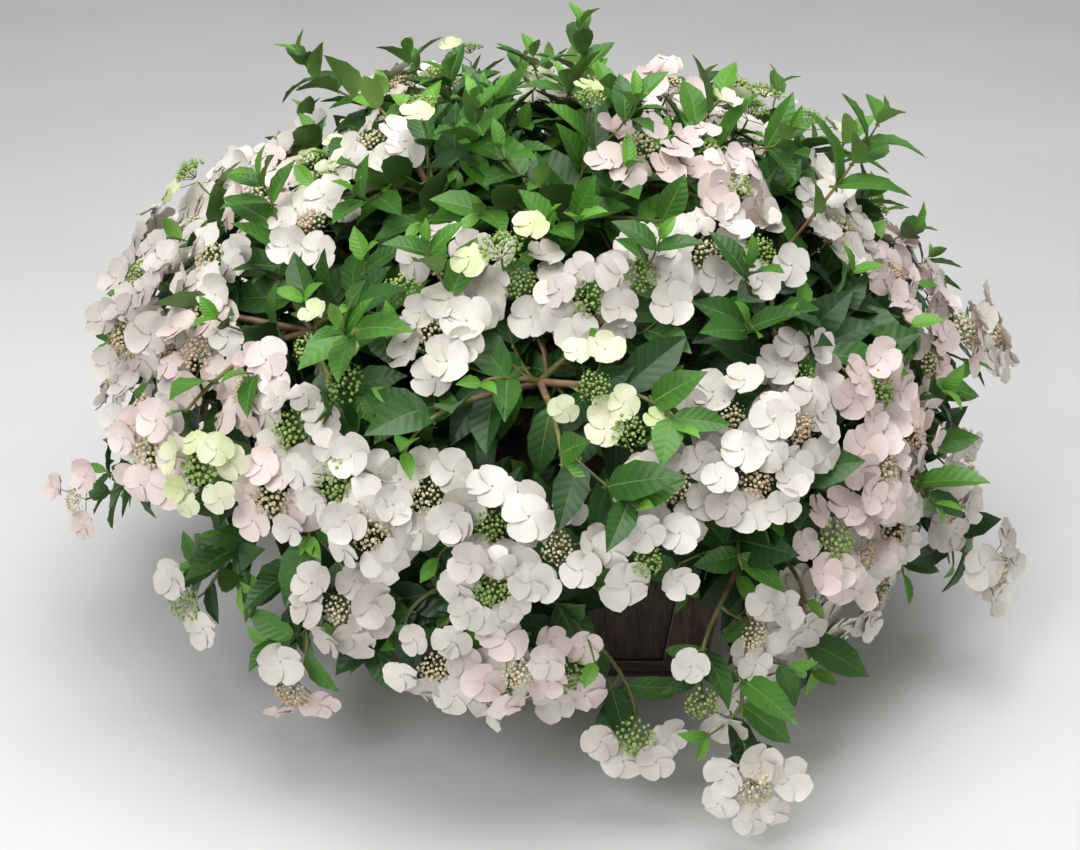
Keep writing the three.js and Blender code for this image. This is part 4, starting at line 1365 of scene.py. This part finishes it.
def leaf_template(name, fold, droop, twist, stock):
    """A leaf one unit long: at each station its two edges, the two sides of its midrib, and its keel."""
    points, plan = [], []
    for i, along in enumerate(LEAF_STATIONS):
        share = max(along, 0)
        half, rib, quilt, lead, keel = STALK_HALF_WIDTH, 0.007, 0, 0, STALK_KEEL
        if i > 1:
            outward = 1 if i % 2 else -1
            half = LEAF_HALF_WIDTH * math.sin(math.pi * share**0.74) ** (0.58 + 0.5 * share)
            half *= 1 + LEAF_TEETH * outward
            rib, quilt, keel = 0.013 * (1.05 - share), LEAF_QUILT * outward, LEAF_KEEL
            lead = 0.055 * math.sin(math.pi * share)
        middle = -droop * share**2 + 0.04 * math.sin(math.pi * share)
        turn = twist * share
        left, right = (-half, along + lead, fold * half + quilt), (half, along + lead, fold * half + quilt)
        for x, y, z in (left, (-rib, along, 0), (rib, along, 0), right, (0, along, -keel)):
            across = x * math.cos(turn) - z * math.sin(turn)
            rise = x * math.sin(turn) + z * math.cos(turn)
            points.append((across, y, middle + rise))
            plan.append((x, y))
    tip = len(points)
    points.append((0, 1, -droop))
    plan.append((0, 1))
    faces, pale, creased = [(0, 1, 4), (1, 2, 4), (2, 3, 4)], [True] * 3, []
    for i in range(len(LEAF_STATIONS)):
        a, b = 5 * i, 5 * (i + 1)
        last = i == len(LEAF_STATIONS) - 1
        for near, far, is_pale in ((0, 1, False), (1, 2, True), (2, 3, False), (3, 4, True), (4, 0, True)):
            if last:
                made = [(a + near, a + far, tip)]
            elif far in (0, 3):
                # Top and underside are both split from the midrib out to the edge ahead.
                made = [(a + near, a + far, b + far), (a + near, b + far, b + near)]
            else:
                made = [(a + near, a + far, b + near), (a + far, b + far, b + near)]
            faces += made
            pale += [is_pale or i < 1] * len(made)
        creased += [(a + edge, tip if last else b + edge) for edge in (0, 3)]
    template(name, points, faces, pale, stock, creased, plan)


def veins_group():
    """Side veins that run out and forward from a midrib, and the swellings of the blade between them,
    on a map of the blade's width and length."""
    outputs = {"Veins": "Float", "Swelling": "Float"}
    tree, given, made = new_group("Shader", "veins", {"Vector": "Vector"}, outputs)
    place = add(tree, "ShaderNodeSeparateXYZ", {0: given["Vector"]}).node.outputs
    slanted = maths(tree, "MULTIPLY_ADD", maths(tree, "ABSOLUTE", place["X"]), -VEIN_LEAD, place["Y"])
    swelling = maths(tree, "PINGPONG", maths(tree, "MULTIPLY", slanted, VEIN_PAIRS), 0.5)
    lines = ranged(tree, swelling, 1, 0, 0, 0.09, interpolation_type="SMOOTHSTEP")
    feed(made, {"Veins": lines, "Swelling": swelling})
    return tree


VEINS = veins_group()


def leaf_blade(name, deep, fresh, pale):
    """The glossy upper side of a leaf, with its side veins paler and sunk between its swellings."""
    blade = mottled(name, deep, fresh, 16, 380, (0.34, 0.50), Specular_IOR_Level=0.45)
    tree = blade.node_tree
    shader = tree.nodes["Principled BSDF"]
    veins = grouped(tree, VEINS, {"Vector": add(tree, "ShaderNodeUVMap", {}, uv_map="blade")})
    plain = shader.inputs["Base Color"].links[0].from_socket
    line = maths(tree, "MULTIPLY", veins["Veins"], VEIN_STRENGTH)
    veined = blended(tree, line, plain, (*pale, 1))
    feed(shader, {"Base Color": veined, "Normal": bumped(tree, veins["Swelling"], 0.4, 0.0014)})
    return blade


def planting_tree():
    """One of a stock of shapes set on each point, turned and sized as the point says."""
    inputs = {"Stock": "Collection", "Finish": "Material", "Pale finish": "Material"}
    tree, given, made = new_group("Geometry", "planting", {**GEOMETRY, **inputs}, GEOMETRY)
    stock = {"Collection": given["Stock"], "Separate Children": True, "Reset Children": True}
    spots = {
        "Points": given["Geometry"],
        "Instance": add(tree, "GeometryNodeCollectionInfo", stock),
        "Pick Instance": True,
        "Instance Index": named(tree, "kind", "INT"),
        "Rotation": named(tree, "turn", "QUATERNION"),
        "Scale": named(tree, "size", "FLOAT_VECTOR"),
    }
    real = made_real(tree, add(tree, "GeometryNodeInstanceOnPoints", spots), given["Finish"])
    marked = named(tree, "pale", "BOOLEAN")
    second = {"Geometry": real, "Selection": marked, "Material": given["Pale finish"]}
    feed(made, {0: add(tree, "GeometryNodeSetMaterial", second)})
    return tree


PLANTING = planting_tree()


def planted(name, spots, stock, finish, pale_finish):
    """A piece with one of a stock of shapes at each spot."""
    mesh = bpy.data.meshes.new(name)
    mesh.from_pydata([spot.root for spot in spots], [], [])
    note(mesh, "turn", "QUATERNION", [c for spot in spots for c in spot.turn])
    note(mesh, "size", "FLOAT_VECTOR", [c for spot in spots for c in spot.size])
    note(mesh, "kind", "INT", [spot.kind for spot in spots])
    inputs = {"Stock": stock, "Finish": finish, "Pale finish": pale_finish}
    settle(grown(linked(name, mesh), name, PLANTING, inputs), "foliage", *FOLIAGE)


def discard(stock):
    """Removes a stock of shapes once all of them are planted."""
    for shape in list(stock.objects):
        bpy.data.objects.remove(shape)
    bpy.data.collections.remove(stock)


def scaled(colour, share):
    return tuple(share * c for c in colour)


leaf_shapes = bpy.data.collections.new("leaf_shapes")
for i, shape in enumerate(LEAF_SHAPES):
    leaf_template(f"leaf_shape_{i}", *shape, leaf_shapes)
for tone, (deep, fresh, pale) in LEAF_TONES.items():
    blade = leaf_blade(f"leaf_{tone}", deep, fresh, pale)
    vein = mottled(f"leaf_{tone}_pale", scaled(pale, 0.72), pale, 20, 300, (0.55, 0.7))
    planted(f"leaves_{tone}", [leaf for leaf in leaves if leaf.tone == tone], leaf_shapes, blade, vein)
discard(leaf_shapes)


# ==== Sterile flowers ====
# Each has four broad, softly waved sepals round a bead-like eye, on a fine stalk. Most heads have a
# ring of five to eight, white or blush when open and lime when young; the shade tone is painted shade,
# a darker grey copy of white.

SEPAL_STATIONS = (-0.03, 0.14, 0.36, 0.60, 0.81, 0.95)
SEPAL_HALF_WIDTHS = (0.12, 0.32, 0.51, 0.60, 0.52, 0.30)
SEPAL_KEEL = 0.018
SEPAL_LENGTH = (0.84, 0.20)
SEPAL_TILT = (0.07, 0.06)
SEPAL_SOFTNESS = {"Subsurface_Weight": 0.12, "Subsurface_Radius": (0.004, 0.003, 0.002)}
# Deep, fresh and eye colours for each tone. Shade is painted shade: a darker, greyer copy of white.
SEPAL_TONES = {
    "white": ((0.66, 0.62, 0.56), (0.87, 0.83, 0.77), (0.60, 0.56, 0.38)),
    "blush": ((0.72, 0.58, 0.55), (0.87, 0.76, 0.72), (0.60, 0.48, 0.36)),
    "shade": ((0.50, 0.46, 0.42), (0.72, 0.67, 0.62), (0.48, 0.42, 0.30)),
    "lime": ((0.58, 0.66, 0.32), (0.84, 0.84, 0.64), (0.48, 0.58, 0.20)),
}
ROUND_FOUR = ((0, 1), (1, 2), (2, 3), (3, 0))
EYE_RADIUS = 0.052
EYE_SIDES = 6
FLORET_STALK = 0.00055
# For each shape of flower: how far its sepals cup, and how deeply they wave.
FLOWER_SHAPES = [(0.10, 0.05), (0.24, 0.08), (0.02, 0.11), (-0.14, 0.08), (0.40, 0.10), (-0.34, 0.12)]


def flower_template(name, cup, wave, seed, stock):
    """A flower one unit in radius. Each sepal has at each station two edges, a middle and a keel."""
    draw = seeded(seed)
    points, faces, creased = [], [], []
    for sepal in range(4):
        bearing = 90 * sepal + 8 * (draw() - 0.5)
        size, tilt = varied(draw, *SEPAL_LENGTH), varied(draw, *SEPAL_TILT)
        first = len(points)
        turn = Matrix.Rotation(bearing * DEG, 3, "Z")
        for i, (along, half) in enumerate(zip(SEPAL_STATIONS, SEPAL_HALF_WIDTHS)):
            rise = cup * along**2
            fold = rise - 0.05 * along
            lift = tilt * half + wave * math.sin(2.6 * i + 3 * sepal) * along
            for x, z in ((-half, rise + lift), (0, fold), (half, rise - lift), (0, fold - SEPAL_KEEL)):
                points.append(turn @ Vector((x * size, along * size, z)))
        tip = len(points)
        points.append(turn @ Vector((0, size, cup * 0.95 - 0.03)))
        faces.append((first, first + 1, first + 2, first + 3))
        creased += [(first + near, first + far) for near, far in ROUND_FOUR]
        for i in range(len(SEPAL_STATIONS)):
            a, b = first + 4 * i, first + 4 * (i + 1)
            last = b == tip
            for near, far in ROUND_FOUR:
                quad = (a + near, a + far, b + far, b + near)
                faces.append((a + near, a + far, tip) if last else quad)
            creased += [(a + edge, tip if last else b + edge) for edge in (0, 2)]
    pale = [False] * len(faces) + [True] * (2 * EYE_SIDES)
    eye = len(points)
    for j in range(EYE_SIDES):
        points.append((spoke(2 * math.pi * j / EYE_SIDES) + UP * 0.55) * EYE_RADIUS)
        k = (j + 1) % EYE_SIDES
        faces.append((eye + j, eye + k, eye + EYE_SIDES))
        faces.append((eye + k, eye + j, eye + EYE_SIDES + 1))
    points += [Vector((0, 0, 1.5 * EYE_RADIUS)), Vector((0, 0, -0.05))]
    template(name, points, faces, pale, stock, creased)


flower_shapes = bpy.data.collections.new("flower_shapes")
for i, shape in enumerate(FLOWER_SHAPES):
    flower_template(f"flower_shape_{i}", *shape, 50 + i, flower_shapes)
for tone, (deep, fresh, eye) in SEPAL_TONES.items():
    sepal = mottled(f"sepal_{tone}", deep, fresh, 22, 260, (0.55, 0.7), **SEPAL_SOFTNESS)
    centre = mottled(f"flower_eye_{tone}", scaled(eye, 0.8), eye, 200, 900, (0.5, 0.6))
    spots = [floret for floret in florets if floret.tone == tone]
    planted(f"flowers_{tone}", spots, flower_shapes, sepal, centre)
discard(flower_shapes)
stalks = []
for floret in florets:
    low = floret.head.centre - floret.head.facing * HEAD_DEPTH
    bend = low.lerp(floret.root, 0.6) - floret.head.facing * 0.002
    stalks.append(([low, bend, floret.root - floret.facing * 0.001], (FLORET_STALK, FLORET_STALK)))
tubes("flower_stalks", stalks, 3, TWIG_GREEN, "foliage")


# ==== Fertile flowers ====
# The middle of each lacecap: a flat dome of tiny round buds on forking stalks, green while young,
# cream as they open and tan once over.

BUDS_PER_HEAD = 40
OPEN_PER_HEAD = 56
BUD_LOOSENESS = (0.08, 0.14, 0.2)
BUD_TONES = {
    "green": ((0.20, 0.34, 0.07), (0.42, 0.55, 0.16)),
    "cream": ((0.56, 0.48, 0.28), (0.88, 0.80, 0.56)),
    "tan": ((0.50, 0.34, 0.20), (0.82, 0.66, 0.46)),
}
# A bud's three-sided stalk, and the eight-sided shape of an open flower.
STALK_CORNERS = [spoke(k * 2.094) * 0.022 for k in range(3)]
STALK_FACES = [(0, 1, 4, 3), (1, 2, 5, 4), (2, 0, 3, 5), (2, 1, 0), (3, 4, 5)]
OPEN_CORNERS = [Vector(c) for c in ((1, 0, 0), (0, 1, 0), (-1, 0, 0), (0, -1, 0), (0, 0, 1), (0, 0, -1))]
OPEN_FACES = [face for j in range(4) for face in ((j, (j + 1) % 4, 4), ((j + 1) % 4, j, 5))]
OPEN_SIZE = Vector((0.062, 0.042, 0.026))
OPEN_SIZES = (0.7, 0.6)
BUD_RADIUS = (0.084, 0.052)
HEAD_RADIUS = (0.0145, 0.006)
HEAD_FLATNESS = (0.8, 0.4)
DOME_DROP = 0.42
GOLDEN_TURN = 137.5


def on_dome(out, turn, top):
    return Vector((out * math.cos(turn), out * math.sin(turn), top - DOME_DROP * out**2))


def buds_template(name, loose, seed, stock):
    """A dome of buds one unit in radius, on three-sided stalks from one point under it."""
    draw = seeded(seed)
    bud = bmesh.new()
    bmesh.ops.create_icosphere(bud, subdivisions=1, radius=1)
    bud_points = [v.co.copy() for v in bud.verts]
    bud_faces = [[v.index for v in f.verts] for f in bud.faces]
    bud.free()
    points, faces, pale = [], [], []

    def put(more_points, more_faces, is_pale=False):
        first = len(points)
        points.extend(more_points)
        faces.extend([first + k for k in face] for face in more_faces)
        pale.extend([is_pale] * len(more_faces))

    for i in range(BUDS_PER_HEAD):
        out, turn = math.sqrt((i + 0.5) / BUDS_PER_HEAD), i * GOLDEN_TURN * DEG
        place = on_dome(out, turn, 0.30) + jolt(draw, loose)
        radius = varied(draw, *BUD_RADIUS)
        put([place + p * radius for p in bud_points], bud_faces)
        if i % 3 == 0:
            ends = Vector((place.x * 0.15, place.y * 0.15, -0.5)), place - UP * 0.03
            put([end + corner for end in ends for corner in STALK_CORNERS], STALK_FACES, True)
    for _ in range(OPEN_PER_HEAD):
        out, turn = math.sqrt(draw()) * 1.08, 2 * math.pi * draw()
        place = on_dome(out, turn, 0.40 + 0.16 * draw())
        spin = Matrix.Rotation(6.28 * draw(), 3, "X") @ Matrix.Rotation(6.28 * draw(), 3, "Z")
        size = OPEN_SIZE * varied(draw, *OPEN_SIZES)
        put([place + spin @ (corner * size) for corner in OPEN_CORNERS], OPEN_FACES)
    template(name, points, faces, pale, stock)


bud_shapes = bpy.data.collections.new("bud_shapes")
for i, loose in enumerate(BUD_LOOSENESS):
    buds_template(f"bud_shape_{i}", loose, 60 + i, bud_shapes)
bud_spots = {tone: [] for tone in BUD_TONES}
draw = seeded(91)
for head in heads:
    chance, size, flat = draw(), varied(draw, *HEAD_RADIUS), varied(draw, *HEAD_FLATNESS)
    tone = "green" if head.tone == "lime" or chance < 0.3 else "cream" if chance < 0.75 else "tan"
    spot = SimpleNamespace(root=head.centre + head.facing * 0.007, size=(size, size, size * flat))
    spot.turn = axes_for(head.facing.orthogonal(), head.facing)
    spot.kind = int(len(BUD_LOOSENESS) * draw())
    bud_spots[tone].append(spot)
for tone, (deep, fresh) in BUD_TONES.items():
    finish = mottled(f"bud_{tone}", deep, fresh, 160, 700, (0.5, 0.65))
    planted(f"buds_{tone}", bud_spots[tone], bud_shapes, finish, TWIG_GREEN)
discard(bud_shapes)


# ==== Floor, light and camera ====
# A plain pale floor in soft studio light: a wide panel overhead, a key from the front left, and a
# bright room all round.

FLOOR_HALF = 9
VIEW_DISTANCE = 2.2
VIEW_PITCH = 28 * DEG
VIEW_AIM = Vector((0, 0, 0.2124))


def area_light(name, place, target, width, watts):
    data = bpy.data.lights.new(name, "AREA")
    data.shape = "SQUARE"
    data.size = width
    data.energy = watts
    light = linked(name, data)
    light.location = place
    light.rotation_euler = (Vector(target) - Vector(place)).to_track_quat("-Z", "Y").to_euler()


corners = [(FLOOR_HALF * x, FLOOR_HALF * y, 0) for x, y in ((-1, -1), (1, -1), (1, 1), (-1, 1))]
ground = bpy.data.meshes.new("floor")
ground.from_pydata(corners, [], [(0, 1, 2, 3)])
ground.materials.append(mottled("floor_paint", (0.80, 0.80, 0.80), (0.84, 0.84, 0.84), 3, 60, (0.7, 0.8)))
linked("floor", ground)
area_light("overhead", (0.1, -0.3, 2.6), (0, 0, 0.3), 1.9, 50)
area_light("key", (-1.3, -2.2, 2.2), (0, 0, 0.35), 1.2, 36)
world = bpy.data.worlds.new("room")
world.use_nodes = True
feed(world.node_tree.nodes["Background"], {"Color": (1.0, 0.99, 0.97, 1), "Strength": 0.34})
bpy.context.scene.world = world
bpy.context.scene.view_settings.view_transform = "Standard"
camera = linked("camera", bpy.data.cameras.new("camera"))
camera.data.lens = 66.7
camera.data.sensor_width = 36
camera.location = VIEW_AIM + Vector((0, -math.cos(VIEW_PITCH), math.sin(VIEW_PITCH))) * VIEW_DISTANCE
camera.rotation_euler = (math.pi / 2 - VIEW_PITCH, 0, 0)
bpy.context.scene.camera = camera
